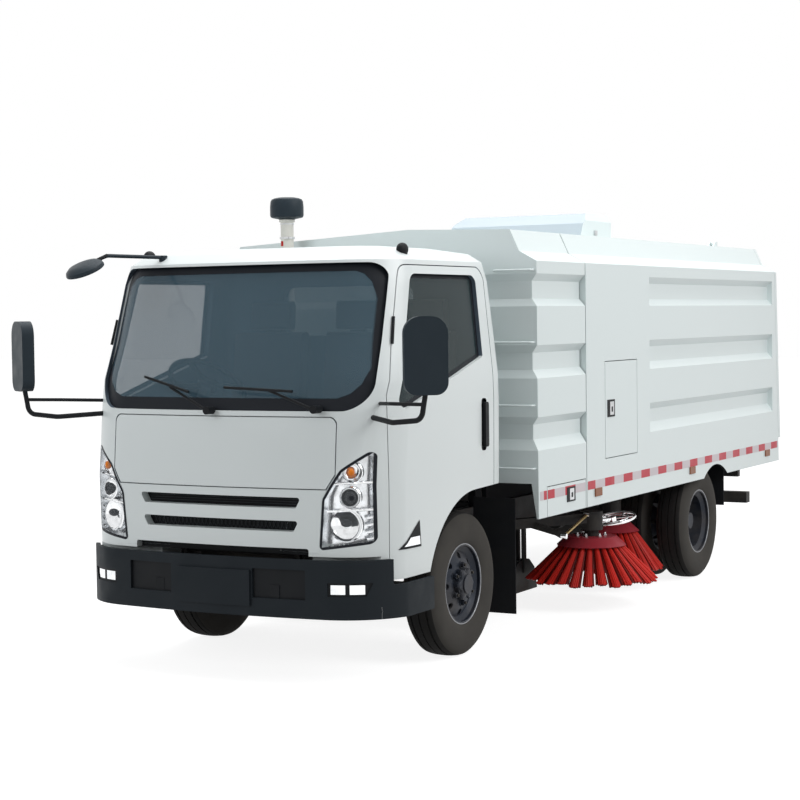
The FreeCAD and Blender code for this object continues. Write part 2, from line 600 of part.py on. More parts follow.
def build_bumper(parts):
    shell = bumper_volume(0.0, BUMPER_LOW, BUMPER_TOP).cut(bumper_volume(BUMPER_WALL, BUMPER_LOW + 22.0, 700.0))
    shell = shell.cut(box(-905.0, 905.0, -900.0, -500.0, 300.0, 400.0))
    shell = shell.cut(box(-870.0, 870.0, -960.0, -500.0, 300.0, 400.0))
    shell = shell.cut(box(-1000.0, 1000.0, -905.0, -500.0, 505.0, 700.0))
    behind = bumper_volume(RECESS_DEPTH, 300.0, 700.0)
    for x0, x1 in ((-537.0, -267.0), (BLOCK_HALF + 10.0, 520.0)):
        shell = shell.cut(box(x0, x1, -1200.0, -1000.0, 433.0, 580.0).cut(behind))
    block = bumper_volume(-BLOCK_DEPTH, 390.0, 570.0).common(box(-BLOCK_HALF, BLOCK_HALF, -1200.0, -1115.0,
                                                                 390.0, 570.0))
    shell = shell.fuse(block)
    lamp_hole = fog_lamp_region(0.0)
    shell = shell.cut(lamp_hole).cut(mirrored(lamp_hole))
    for side in (-1.0, 1.0):
        step = side_box(side, 700.0, 900.0, -880.0, -560.0, 400.0, 420.0)
        bracket = side_box(side, 320.0, 372.0, -1112.0, -800.0, 400.0, RAIL_LOW - SEAT_GAP)
        arm = side_box(side, 360.0, 925.0, -700.0, -660.0, 380.0, 460.0)
        shell = shell.fuse(bracket).fuse(arm).fuse(step)
    parts["front_bumper"] = shell.removeSplitter()
    lamp = fog_lamp_region(SEAT_GAP).common(bumper_volume(FOG_SET_BACK, 400.0, 600.0))
    lamp = lamp.cut(bumper_volume(FOG_SET_BACK + FOG_DEPTH, 390.0, 610.0))
    tail = side_box(1.0, 600.0, 800.0, BAR_FRONT + SEAT_GAP, BAR_FRONT + 40.0, 580.0, BAR_ARM_TOP)
    parts["chassis_lamps"] = Part.makeCompound([lamp, mirrored(lamp), tail, mirrored(tail)])


def rail(side):
    """C-section side rail with the lugs and hinge pins that it carries."""
    inside = RAIL_OUT - RAIL_WEB
    pieces = [side_box(side, inside, RAIL_OUT, RAIL_FRONT, RAIL_REAR, RAIL_LOW, RAIL_TOP)]
    for z in (RAIL_LOW, RAIL_TOP - RAIL_WEB):
        pieces.append(side_box(side, RAIL_OUT - RAIL_FLANGE, RAIL_OUT, RAIL_FRONT, RAIL_REAR, z, z + RAIL_WEB))

    x0, x1 = side * PIVOT_LUG_X - PIVOT_LUG_HALF, side * PIVOT_LUG_X + PIVOT_LUG_HALF
    lug = along_x([(PIVOT_Y - PIVOT_EYE, PIVOT_Z), (RAIL_FRONT + 10.0, RAIL_LOW + 60.0),
                   (RAIL_FRONT + 60.0, RAIL_LOW + 60.0), (RAIL_FRONT + 60.0, RAIL_TOP - 2.0),
                   (PIVOT_Y + PIVOT_EYE, PIVOT_Z)], x0, x1)
    lug = lug.fuse(rod(PIVOT_EYE, (x0, PIVOT_Y, PIVOT_Z), (x1, PIVOT_Y, PIVOT_Z)))
    pieces.append(lug.cut(rod(PIVOT_RADIUS + RUN_GAP, (x0 - 1.0, PIVOT_Y, PIVOT_Z), (x1 + 1.0, PIVOT_Y, PIVOT_Z))))

    x0, x1 = sorted((side * (BEARER_OUT + 6.0), side * (BEARER_OUT + 26.0)))
    lug = along_x([(TIP_Y - 60.0, RAIL_TOP - 12.0), (TIP_Y + 60.0, RAIL_TOP - 12.0),
                   (TIP_Y + 35.0, TIP_Z + 35.0), (TIP_Y - 35.0, TIP_Z + 35.0)], x0, x1)
    pieces.append(lug.cut(rod(TIP_RADIUS + RUN_GAP, (x0 - 1.0, TIP_Y, TIP_Z), (x1 + 1.0, TIP_Y, TIP_Z))))

    pieces.append(rod(ARM_PIN, (side * (RAIL_OUT - 4.0), FRONT_ARM_Y, FRONT_ARM_Z),
                      (side * 505.0, FRONT_ARM_Y, FRONT_ARM_Z)))
    arm_y = REAR_BRUSH[1]
    for y in (arm_y - 75.0, arm_y + 60.0):
        pieces.append(side_box(side, RAIL_OUT - 4.0, REAR_ARM_X + 30.0, y, y + 15.0, REAR_ARM_Z - 30.0,
                               REAR_ARM_Z + 30.0))
    pieces.append(rod(ARM_PIN, (side * REAR_ARM_X, arm_y - 70.0, REAR_ARM_Z),
                      (side * REAR_ARM_X, arm_y + 70.0, REAR_ARM_Z)))
    return join(pieces)


def cross_members():
    """Members between the rails: the fourth carries the hoist's foot, the last the towing plate."""
    half = RAIL_OUT - RAIL_WEB - SEAT_GAP
    front_half = PIVOT_LUG_X - PIVOT_LUG_HALF - SEAT_GAP
    members = [box(-front_half, front_half, RAIL_FRONT + 20.0, RAIL_FRONT + 20.0 + MEMBER_WIDTH, MEMBER_LOW,
                   MEMBER_TOP)]
    for y in (960.0, 1500.0, HOIST_BASE[0] - 50.0, 3800.0, RAIL_REAR - 80.0):
        members.append(box(-half, half, y, y + MEMBER_WIDTH, MEMBER_LOW, MEMBER_TOP))
    base_y, base_z = HOIST_BASE
    for side in (-1.0, 1.0):
        x0, x1 = sorted((side * 31.0, side * 45.0))
        ear = along_x([(base_y - 30.0, base_z - 25.0), (base_y + 30.0, base_z - 25.0),
                       (base_y + 10.0, MEMBER_LOW + 10.0), (base_y - 45.0, MEMBER_LOW + 10.0)], x0, x1)
        members[3] = members[3].fuse(ear)
    members[3] = members[3].fuse(rod(HOIST_PIN, (-45.0, base_y, base_z), (45.0, base_y, base_z)))
    plate = box(-45.0, 45.0, RAIL_REAR - 30.0, TOW_Y + 35.0, 590.0, 620.0)
    members[5] = members[5].fuse(plate).cut(rod(TOW_BORE, (0, TOW_Y, 500.0), (0, TOW_Y, 700.0)))
    return members


def rear_bar():
    """Under-run bar with its stays, hung from the outside of the rails."""
    pieces = [box(-870.0, 870.0, BAR_FRONT, BAR_FRONT + 80.0, 378.0, 460.0),
              box(-560.0, 560.0, BAR_FRONT - 50.0, BAR_FRONT + 10.0, 420.0, 460.0)]
    for side in (-1.0, 1.0):
        pieces.append(side_box(side, 500.0, 560.0, BAR_FRONT - 60.0, BAR_FRONT, 420.0, BAR_ARM_TOP))
        pieces.append(side_box(side, RAIL_OUT + SEAT_GAP, 820.0, BAR_FRONT - 50.0, BAR_FRONT, 580.0, BAR_ARM_TOP))
    return join(pieces)


def mud_flap(side, x0, x1, y, low, top):
    """Rubber sheet on a square arm from the rail."""
    sheet = side_box(side, x0, x1, y, y + FLAP_SHEET, low, top)
    arm = side_box(side, RAIL_OUT + SEAT_GAP, x1 - 20.0, y + FLAP_SHEET, y + FLAP_SHEET + 40.0, 600.0, 640.0)
    return sheet.fuse(arm).removeSplitter()


def build_frame(parts):
    members = [m.removeSplitter() for m in cross_members()]
    parts["frame"] = Part.makeCompound([rail(1.0), rail(-1.0)] + members + [rear_bar()])
    flaps = []
    for side in (-1.0, 1.0):
        flaps.append(mud_flap(side, 640.0, 900.0, FRONT_FLAP_Y, 150.0, 800.0))
        flaps.append(mud_flap(side, 530.0, 990.0, WHEELBASE + 500.0, 180.0, 780.0))
    parts["mud_flaps"] = Part.makeCompound(flaps)


def leaf_pack(y_mid, half, x_mid, width, low, rise, thick):
    """Curved spring pack: an arc band with a flat seat in its middle."""
    def arc(z_end, z_mid, x):
        return Part.Arc(Vector(x, y_mid - half, z_end), Vector(x, y_mid, z_mid), Vector(x, y_mid + half, z_end))
    x0 = x_mid - width / 2.0
    top = arc(low + rise + thick, low + thick, x0).toShape()
    bottom = arc(low + rise, low, x0).toShape()
    near = Part.makeLine(Vector(x0, y_mid - half, low + rise), Vector(x0, y_mid - half, low + rise + thick))
    far = Part.makeLine(Vector(x0, y_mid + half, low + rise), Vector(x0, y_mid + half, low + rise + thick))
    return Part.Face(Part.Wire(Part.__sortEdges__([top, bottom, near, far]))).extrude(Vector(width, 0, 0))


def build_axles(parts):
    springs = []
    for x in (-SPRING_X, SPRING_X):
        front = leaf_pack(0.0, 560.0, x, 60.0, SPRING_SEAT_Z, 55.0, 34.0)
        for y in (-545.0, 545.0):
            hanger = box(x - 25.0, x + 25.0, y - 30.0, y + 30.0, 452.0, RAIL_LOW - SEAT_GAP)
            front = front.fuse(hanger)
        springs.append(front)
        rear = leaf_pack(WHEELBASE, 640.0, x, 70.0, AXLE_Z + SPRING_LIFT, 25.0, 18.0)
        for y in (WHEELBASE - 620.0, WHEELBASE + 620.0):
            hanger = box(x - 25.0, x + 25.0, y - 30.0, y + 30.0, 460.0, RAIL_LOW - SEAT_GAP)
            rear = rear.fuse(hanger)
        springs.append(rear)
    parts["leaf_springs"] = Part.makeCompound([s.removeSplitter() for s in springs])

    beam = [along_y([(-575.0, 350.0), (-480.0, 300.0), (480.0, 300.0), (575.0, 350.0), (575.0, 425.0),
                     (460.0, 375.0), (-460.0, 375.0), (-575.0, 425.0)], -30.0, 30.0)]
    for side in (-1.0, 1.0):
        beam[0] = beam[0].cut(rod(45.0, (side * KINGPIN_X, 0, 200.0), (side * KINGPIN_X, 0, 345.5)))
    for side in (-1.0, 1.0):
        beam.append(side_box(side, SPRING_X - 43.0, SPRING_X + 47.0, -45.0, 45.0, 370.0, SPRING_SEAT_Z - SEAT_GAP))
        beam.append(rod(40.0, (side * KINGPIN_X, 0, 346.0), (side * KINGPIN_X, 0, 429.0)))
        beam.append(rod(KINGPIN_RADIUS, (side * KINGPIN_X, 0, 284.0), (side * KINGPIN_X, 0, 491.0)))
    parts["front_axle"] = join(beam)

    half_profile = [(45.0, 165.0), (110.0, 135.0), (180.0, 56.0), (500.0, 52.0), (500.0, 44.0), (900.0, 44.0)]
    profile = [(-u, v) for u, v in reversed(half_profile)] + half_profile + [(900.0, 0.0), (-900.0, 0.0)]
    housing = [spun_x(profile, 0.0, WHEELBASE, AXLE_Z)]
    housing.append(rod(70.0, (0, WHEELBASE - 230.0, AXLE_Z), (0, WHEELBASE, AXLE_Z)))
    for x in (-SPRING_X, SPRING_X):
        housing.append(box(x - 45.0, x + 45.0, WHEELBASE - 55.0, WHEELBASE + 55.0, AXLE_Z,
                           AXLE_Z + SPRING_LIFT - SEAT_GAP))
    parts["rear_axle"] = join(housing)

    for name, side in (("left", 1.0), ("right", -1.0)):
        x = side * KINGPIN_X
        lugs = [rod(42.0, (x, 0, 284.0), (x, 0, 345.0)), rod(42.0, (x, 0, 430.0), (x, 0, 491.0))]
        w0, w1 = sorted((side * 642.0, side * 672.0))
        lugs.append(box(w0, w1, -42.0, 42.0, 284.0, 491.0))
        l0, l1 = sorted((x, side * 650.0))
        lugs.append(box(l0, l1, -42.0, 42.0, 284.0, 345.0))
        lugs.append(box(l0, l1, -42.0, 42.0, 430.0, 491.0))
        lugs.append(rod(32.0, (side * 660.0, 0, AXLE_Z), (side * 840.0, 0, AXLE_Z)))
        lugs.append(box(x - 21.0, x + 21.0, 20.0, ARM_BACK, ROD_Z + 22.0, ROD_Z + 50.0))
        lugs.append(rod(24.0, (x, ARM_BACK, ROD_Z + 22.0), (x, ARM_BACK, ROD_Z + 50.0)))
        lugs.append(rod(JOINT_PIN, (x, ARM_BACK, ROD_Z - 18.0), (x, ARM_BACK, ROD_Z + 30.0)))
        knuckle = join(lugs)
        knuckle = knuckle.cut(rod(KINGPIN_RADIUS + RUN_GAP, (x, 0, 200.0), (x, 0, 600.0)))
        parts["knuckle_" + name] = knuckle
    bar = [rod(14.0, (15.0 - KINGPIN_X, ARM_BACK, ROD_Z), (KINGPIN_X - 15.0, ARM_BACK, ROD_Z))]
    for x in (-KINGPIN_X, KINGPIN_X):
        bar.append(rod(24.0, (x, ARM_BACK, ROD_Z - 16.0), (x, ARM_BACK, ROD_Z + 16.0)))
    bar = join(bar)
    for x in (-KINGPIN_X, KINGPIN_X):
        bar = bar.cut(rod(JOINT_PIN + RUN_GAP, (x, ARM_BACK, ROD_Z - 60.0), (x, ARM_BACK, ROD_Z + 60.0)))
    parts["tie_rod"] = bar


def tyre(x_mid, y):
    half = TYRE_WIDTH / 2.0
    points = [(-80.0, RIM_RADIUS + SEAT_GAP), (80.0, RIM_RADIUS + SEAT_GAP), (88.0, 240.0), (half, 295.0),
              (94.0, 345.0), (80.0, 376.0), (40.0, TYRE_RADIUS), (-40.0, TYRE_RADIUS), (-80.0, 376.0),
              (-94.0, 345.0), (-half, 295.0), (-88.0, 240.0)]
    return spun_x(points, x_mid, y, AXLE_Z)


def rim(x_mid, y, side, seat, face):
    """Wheel rim with its disc and hand holes; side is +1 on the left, seat and face place the disc."""
    well = RIM_RADIUS - 26.0
    ring = [(-82.0, RIM_RADIUS), (-60.0, RIM_RADIUS), (-40.0, well), (40.0, well), (60.0, RIM_RADIUS),
            (82.0, RIM_RADIUS), (82.0, RIM_RADIUS - RIM_WALL), (64.0, RIM_RADIUS - RIM_WALL),
            (44.0, well - RIM_WALL), (-44.0, well - RIM_WALL), (-64.0, RIM_RADIUS - RIM_WALL),
            (-82.0, RIM_RADIUS - RIM_WALL)]
    ring = [(side * u, v) for u, v in ring]
    barrel = spun_x(ring, x_mid, y, AXLE_Z)
    disc = [(seat - 8.0, well - 4.0), (seat + 8.0, well - 4.0), (face + 6.0, 128.0), (face + 6.0, 20.0),
            (face - 6.0, 20.0), (face - 6.0, 128.0)]
    disc = spun_x([(side * u, v) for u, v in disc], x_mid, y, AXLE_Z)
    for i in range(8):
        angle = math.radians(45.0 * i)
        cy, cz = y + 152.0 * math.cos(angle), AXLE_Z + 152.0 * math.sin(angle)
        disc = disc.cut(rod(17.0, (x_mid + side * (min(seat, face) - 30.0), cy, cz),
                            (x_mid + side * (max(seat, face) + 30.0), cy, cz)))
    return join([barrel, disc])


def build_wheels(parts):
    for name, side in (("left", 1.0), ("right", -1.0)):
        x = side * FRONT_TRACK_HALF
        parts["front_tyre_" + name] = tyre(x, 0.0)
        hub = [rod(78.0, (x - side * 60.0, 0, AXLE_Z), (x + side * 92.0, 0, AXLE_Z)),
               rod(52.0, (x + side * 90.0, 0, AXLE_Z), (x + side * 115.0, 0, AXLE_Z))]
        front = join([rim(x, 0.0, side, 34.0, 62.0)] + hub)
        bore = rod(32.0 + RUN_GAP, (x - side * 62.0, 0, AXLE_Z), (x + side * 95.0, 0, AXLE_Z))
        parts["front_rim_" + name] = front.cut(bore)
        out = side * (TWIN_MIDDLE + TWIN_SPACING / 2.0)
        near = side * (TWIN_MIDDLE - TWIN_SPACING / 2.0)
        parts["rear_tyres_" + name] = Part.makeCompound([tyre(out, WHEELBASE), tyre(near, WHEELBASE)])
        plate = TWIN_SPACING / 2.0 - 6.0
        twins = [rim(out, WHEELBASE, side, -36.0, -plate), rim(near, WHEELBASE, side, 36.0, plate)]
        for radius, start, end in ((82.0, -70.0, 120.0), (55.0, 118.0, 160.0)):
            twins.append(rod(radius, (side * (TWIN_MIDDLE + start), WHEELBASE, AXLE_Z),
                             (side * (TWIN_MIDDLE + end), WHEELBASE, AXLE_Z)))
        bore = rod(44.0 + RUN_GAP, (side * 500.0, WHEELBASE, AXLE_Z), (side * 901.0, WHEELBASE, AXLE_Z))
        parts["rear_rims_" + name] = join(twins).cut(bore)


def build_drive(parts):
    block = box(-270.0, 270.0, -330.0, ENGINE_REAR, 440.0, CAB_TUNNEL_TOP - 20.0)
    raised = box(-270.0, 270.0, -90.0, ENGINE_REAR, 700.0, ARCH_CROWN - 23.0)
    web = RAIL_OUT - RAIL_WEB - SEAT_GAP
    bearer = box(-web, web, -120.0, -40.0, RAIL_LOW + 20.0, RAIL_LOW + 90.0)
    parts["engine"] = join([block, raised, bearer])
    gearbox = Part.makeCone(190.0, 90.0, GEARBOX_LENGTH, Vector(0, ENGINE_REAR + SEAT_GAP, 560.0),
                            Vector(0, 1, 0))
    shaft = rod(38.0, (0, ENGINE_REAR + GEARBOX_LENGTH, 560.0), (0, WHEELBASE - 230.0 - 3.2, AXLE_Z + 5.0))
    parts["drive_line"] = join([gearbox, shaft])
    core = RAIL_OUT - RAIL_FLANGE - SEAT_GAP
    parts["radiator"] = box(-core, core, -790.0, -730.0, 380.0, 715.0)
    parts["fuel_tank"] = along_x([(640.0, 330.0), (1250.0, 330.0), (1250.0, 650.0), (640.0, 650.0)], -880.0,
                                 -RAIL_OUT - SEAT_GAP, 60.0)
    pump = box(-420.0, 420.0, 640.0, 1120.0, BODY_FLOOR + FLOOR_THICK + SEAT_GAP, 1650.0)
    parts["auxiliary_engine"] = pump


def body_section(inset):
    """Cross-section of the body above its floor: sides, chamfered shoulders and roof."""
    return [(BODY_HALF - inset, BODY_FLOOR), (BODY_HALF - inset, SIDE_TOP), (CHAMFER_X, CHAMFER_Z),
            (EAVE_X, EAVE_Z), (CREST_X, CREST_Z), (-EAVE_X, FAR_EAVE_Z), (-CHAMFER_X, CHAMFER_Z - 20.0),
            (-BODY_HALF + inset, SIDE_TOP), (-BODY_HALF + inset, BODY_FLOOR)]


def rib_cuts(y0, y1):
    """Recesses between the side ribs, on both sides, from y0 to y1."""
    cuts = []
    for top, inner_top, inner_low, low in RIB_LEVELS:
        shape = [(BODY_HALF + 10.0, top), (BODY_HALF, top), (BODY_HALF - RIB_DEPTH, inner_top),
                 (BODY_HALF - RIB_DEPTH, inner_low), (BODY_HALF, low), (BODY_HALF + 10.0, low)]
        cut = along_y(shape, y0, y1)
        cuts += [cut, mirrored(cut)]
    return cuts


def skirt(y0, y1):
    plate = along_y([(BODY_HALF, BODY_FLOOR), (BODY_HALF, SKIRT_LOW), (BODY_HALF - 12.0, SKIRT_LOW),
                     (BODY_HALF - 42.0, BODY_FLOOR)], y0, y1)
    return [plate, mirrored(plate)]


def cavity(y0, y1):
    half = BODY_HALF - RIB_DEPTH - SIDE_SHEET
    low = BODY_FLOOR + FLOOR_THICK
    shoulder, eave = CHAMFER_X - 85.0, EAVE_X - 60.0
    return along_y([(-half, low), (half, low), (half, SIDE_TOP - 35.0), (shoulder, CHAMFER_Z - 27.0),
                    (eave, EAVE_Z - 47.0), (-eave, FAR_EAVE_Z - 45.0), (-shoulder, CHAMFER_Z - 42.0),
                    (-half, SIDE_TOP - 35.0)], y0, y1)


def rungs():
    """Thin bars across the front housing's front face, at both ends."""
    bars = []
    for z in RUNG_LEVELS:
        stand = HOUSING_FRONT - 30.0
        inside = HOUSING_FRONT + 2.0
        bar = pipe([(RUNG_IN, inside, z), (RUNG_IN, stand, z), (RUNG_OUT, stand, z), (RUNG_OUT, inside, z)],
                   RUNG_RADIUS, 12.0)
        bars += [bar, mirrored(bar)]
    return bars


def bearers():
    """What the hopper stands and turns on: bearers, tipping pins, hoist ears and the tailgate's hinge ears."""
    pieces = []
    eye_y, eye_z = HOIST_EYE
    under_floor = BODY_FLOOR + 10.0
    for side in (-1.0, 1.0):
        x0, x1 = sorted((side * BEARER_IN, side * BEARER_OUT))
        pieces.append(box(x0, x1, SEAM_Y + 85.0, TIP_Y, RAIL_TOP + SEAT_GAP, under_floor))
        pieces.append(box(x0, x1, TIP_Y, TIP_Y + 38.0, TIP_Z, under_floor))
        pieces.append(rod(38.0, (x0, TIP_Y, TIP_Z), (x1, TIP_Y, TIP_Z)))
        pieces.append(rod(TIP_RADIUS, (side * (BEARER_IN + 10.0), TIP_Y, TIP_Z),
                          (side * (BEARER_OUT + 30.0), TIP_Y, TIP_Z)))
        x0, x1 = sorted((side * 31.0, side * 45.0))
        pieces.append(along_x([(eye_y - 25.0, eye_z - 30.0), (eye_y + 25.0, eye_z - 30.0),
                               (eye_y + 60.0, under_floor), (eye_y - 60.0, under_floor)], x0, x1))
        for x in (GATE_ARM_X - 20.0, GATE_ARM_X + 20.0):
            x0, x1 = sorted((side * (x - 6.0), side * (x + 6.0)))
            pieces.append(along_x([(HOPPER_REAR_TOP - 110.0, EAVE_Z - 40.0), (HOPPER_REAR_TOP, EAVE_Z - 40.0),
                                   (GATE_HINGE_Y + 18.0, GATE_HINGE_Z - 10.0),
                                   (GATE_HINGE_Y + 18.0, GATE_HINGE_Z + 18.0),
                                   (GATE_HINGE_Y - 30.0, GATE_HINGE_Z + 18.0)], x0, x1))
        pieces.append(rod(GATE_PIN, (side * (GATE_ARM_X - 26.0), GATE_HINGE_Y, GATE_HINGE_Z),
                          (side * (GATE_ARM_X + 26.0), GATE_HINGE_Y, GATE_HINGE_Z)))
    return pieces


def build_body(parts):
    housing = along_y(body_section(0.0), HOUSING_FRONT, SEAM_Y - SEAM_GAP)
    housing = join([housing] + skirt(HOUSING_FRONT, SEAM_Y - SEAM_GAP))
    for cut in rib_cuts(HOUSING_FRONT - 10.0, SEAM_Y):
        housing = housing.cut(cut)
    for top, inner_top, inner_low, low in RIB_LEVELS:
        front = along_x([(HOUSING_FRONT - 10.0, top), (HOUSING_FRONT, top), (HOUSING_FRONT + 20.0, inner_top),
                         (HOUSING_FRONT + 20.0, inner_low), (HOUSING_FRONT, low), (HOUSING_FRONT - 10.0, low)],
                        -1100.0, 1100.0)
        housing = housing.cut(front)
    housing = housing.cut(cavity(HOUSING_FRONT + 50.0, SEAM_Y - SEAM_GAP - 30.0))
    inner, outer = BODY_HALF - 150.0, BODY_HALF + 50.0
    flap_hole = box(inner, outer, FLAP_FRONT, FLAP_REAR, SKIRT_LOW - 90.0, FLAP_TOP)
    flap_hole = flap_hole.cut(box(inner, FLAP_LIP, FLAP_FRONT, FLAP_REAR, FLAP_TOP - REBATE_WIDTH, FLAP_TOP))
    housing = housing.cut(flap_hole).cut(mirrored(flap_hole))
    for y in (620.0, 1100.0):
        for side in (-1.0, 1.0):
            housing = housing.fuse(side_box(side, 330.0, RAIL_OUT, y, y + 80.0, RAIL_TOP + SEAT_GAP,
                                            BODY_FLOOR + 10.0))
    parts["housing"] = join([housing] + rungs())
    flap = skirt(FLAP_FRONT + PANEL_GAP, FLAP_REAR - PANEL_GAP)[0]
    flap = flap.cut(box(inner, outer, FLAP_FRONT, FLAP_REAR, FLAP_TOP - PANEL_GAP, 900.0))
    flap = flap.cut(box(inner, FLAP_LIP + SEAT_GAP, FLAP_FRONT, FLAP_REAR, FLAP_TOP - REBATE_WIDTH - SEAT_GAP,
                        900.0))
    parts["skirt_flap_left"] = flap
    parts["skirt_flap_right"] = mirrored(flap)

    hopper = along_y(body_section(0.0), SEAM_Y, HOPPER_REAR_LOW)
    hopper = join([hopper] + skirt(SEAM_Y, HOPPER_REAR_LOW))
    for cut in rib_cuts(RIB_START, HOPPER_REAR_TOP - 60.0):
        hopper = hopper.cut(cut)
    hopper = hopper.cut(cavity(SEAM_Y + 40.0, HOPPER_REAR_LOW + 50.0))
    rear_cut = along_x([(HOPPER_REAR_TOP, 2400.0), (HOPPER_REAR_TOP, SIDE_TOP), (HOPPER_REAR_LOW, SKIRT_LOW),
                        (HOPPER_REAR_LOW + 20.0, SKIRT_LOW - 100.0), (REAR_REACH + 220.0, SKIRT_LOW - 100.0),
                        (REAR_REACH + 220.0, 2400.0)], -BODY_HALF - 150.0, BODY_HALF + 150.0)
    hopper = hopper.cut(rear_cut)
    hopper = hopper.cut(rod(REAR_ARCH_RADIUS, (-BODY_HALF - 150.0, REAR_ARCH_Y, REAR_ARCH_Z),
                            (BODY_HALF + 150.0, REAR_ARCH_Y, REAR_ARCH_Z)))
    hopper = join([hopper] + bearers())
    inner_x = BODY_HALF - RIB_DEPTH - SIDE_SHEET
    lip_x = inner_x + REBATE_DEPTH
    outer = BODY_HALF + 50.0
    hole = box(lip_x, outer, HATCH_FRONT, HATCH_REAR, HATCH_LOW, HATCH_TOP)
    hole = hole.fuse(box(inner_x - 10.0, outer, HATCH_FRONT + REBATE_WIDTH, HATCH_REAR - REBATE_WIDTH,
                         HATCH_LOW + REBATE_WIDTH, HATCH_TOP - REBATE_WIDTH))
    hopper = hopper.cut(hole).cut(mirrored(hole))
    near = REBATE_WIDTH + SEAT_GAP
    door = box(lip_x + SEAT_GAP, BODY_HALF, HATCH_FRONT + PANEL_GAP, HATCH_REAR - PANEL_GAP,
               HATCH_LOW + PANEL_GAP, HATCH_TOP - PANEL_GAP)
    door = join([door, box(inner_x, BODY_HALF, HATCH_FRONT + near, HATCH_REAR - near, HATCH_LOW + near,
                           HATCH_TOP - near)])
    parts["hopper_door_left"] = door
    parts["hopper_door_right"] = mirrored(door)
    parts["hopper"] = hopper

    top, low = HOPPER_REAR_TOP + PANEL_GAP, HOPPER_REAR_LOW + PANEL_GAP
    gate = along_x([(top, 2400.0), (top, SIDE_TOP), (low, SKIRT_LOW), (low + GATE_THICK, SKIRT_LOW),
                    (top + GATE_THICK, SIDE_TOP), (top + GATE_THICK, 2400.0)], -BODY_HALF, BODY_HALF)
    face = body_section(0.0)
    face[0] = (BODY_HALF, BODY_FLOOR - 20.0)
    face[-1] = (-BODY_HALF, BODY_FLOOR - 20.0)
    before, behind = REAR_REACH - 280.0, REAR_REACH + 120.0
    gate = gate.common(along_y(face, before, behind))
    for x in (-GATE_ARM_X - 20.0, -GATE_ARM_X + 20.0, GATE_ARM_X - 20.0, GATE_ARM_X + 20.0):
        gate = gate.cut(box(x - 11.0, x + 11.0, before, behind, EAVE_Z - 60.0, 2500.0))
    for z0, z1 in ((1250.0, 1300.0), (1750.0, 1800.0)):
        gate = gate.fuse(box(-900.0, 900.0, top + 25.0, REAR_REACH, z0, z1))
    for side in (-1.0, 1.0):
        x0, x1 = sorted((side * (GATE_ARM_X - 12.0), side * (GATE_ARM_X + 12.0)))
        arm = along_x([(top + 5.0, 2150.0), (top + GATE_THICK, 2150.0), (GATE_HINGE_Y + 16.0, GATE_HINGE_Z),
                       (GATE_HINGE_Y - 16.0, GATE_HINGE_Z)], x0, x1)
        eye = rod(22.0, (x0, GATE_HINGE_Y, GATE_HINGE_Z), (x1, GATE_HINGE_Y, GATE_HINGE_Z))
        bore = rod(GATE_PIN + RUN_GAP, (x0 - 20.0, GATE_HINGE_Y, GATE_HINGE_Z),
                   (x1 + 20.0, GATE_HINGE_Y, GATE_HINGE_Z))
        gate = gate.fuse(arm).fuse(eye).cut(bore)
    parts["tailgate"] = gate.removeSplitter()

    hood = along_y([(-475.0, 2290.0), (-475.0, 2440.0), (-430.0, 2490.0), (460.0, 2490.0), (490.0, 2440.0),
                    (490.0, 2290.0)], 2450.0, 3010.0)
    hood = hood.cut(along_x([(2440.0, 2290.0), (2450.0, 2290.0), (2520.0, 2420.0), (2640.0, 2490.0),
                             (2640.0, 2500.0), (2440.0, 2500.0)], -600.0, 600.0))
    hood = hood.cut(along_y(body_section(0.0)[1:8], 2400.0, 3100.0))
    parts["roof_hood"] = hood

    drum = Part.makeCylinder(98.0, 118.0, Vector(-490.0, 410.0, 2405.0))
    post = rod(38.0, (-490.0, 410.0, 960.0), (-490.0, 410.0, 2406.0))
    foot = box(-530.0, -450.0, 375.0, HOUSING_FRONT - SEAT_GAP, 940.0, 1000.0)
    parts["intake_mast"] = join([drum, post, foot])


def frustum(low, high):
    """Solid between two like polygons whose sides are parallel, all its faces flat."""
    faces = [Part.Face(Part.makePolygon(ring + ring[:1])) for ring in (low, high)]
    for i in range(len(low)):
        j = (i + 1) % len(low)
        faces.append(Part.Face(Part.makePolygon([low[i], low[j], high[j], high[i], low[i]])))
    return Part.makeSolid(Part.makeShell(faces))


def bundle(foot, tip, across):
    """Bristle bundle that widens from its foot to its tip; across is the direction of its width."""
    through = across.cross(tip - foot)
    through.normalize()
    rings = []
    for centre, width in ((foot, BUNDLE_FOOT), (tip, BUNDLE_TIP)):
        half = across * (width / 2.0)
        ridge = through * (width * BUNDLE_SLENDER / 2.0)
        rings.append([centre + half, centre + ridge, centre - half, centre - ridge])
    return frustum(rings[0], rings[1])


def brush(spec, tip_z, disc_radius):
    """Disc brush: fanned bristle bundles under a faceted disc with its drive hub."""
    x, y, reach = spec
    middle = Vector(x, y, 0)
    up = Vector(0, 0, 1)

    def ring(radius, z):
        turns = [2.0 * math.pi * i / DISC_SIDES for i in range(DISC_SIDES)]
        return [middle + Vector(radius * math.cos(a), radius * math.sin(a), z) for a in turns]

    pieces = [frustum(ring(disc_radius + 5.0, DISC_Z), ring(disc_radius + 5.0 - DISC_TAPER, DISC_Z + DISC_HEIGHT)),
              rod(45.0, (x, y, DISC_Z + DISC_HEIGHT - 15.0), (x, y, HEAD_Z - SEAT_GAP))]
    root = disc_radius - 25.0
    edge = math.sqrt(reach ** 2 - (BUNDLE_TIP / 2.0) ** 2)
    for i in range(BUNDLES):
        angle = 2.0 * math.pi * (i + 0.5) / BUNDLES
        out = Vector(math.cos(angle), math.sin(angle), 0)
        shorter = TIP_STEP * (i % 3)
        tip = middle + out * (edge - shorter) + up * (tip_z + BUNDLE_TIP * BUNDLE_SLENDER / 2.0 + shorter)
        pieces.append(bundle(middle + out * root + up * (DISC_Z + 12.0), tip, up.cross(out)))
    return join(pieces)


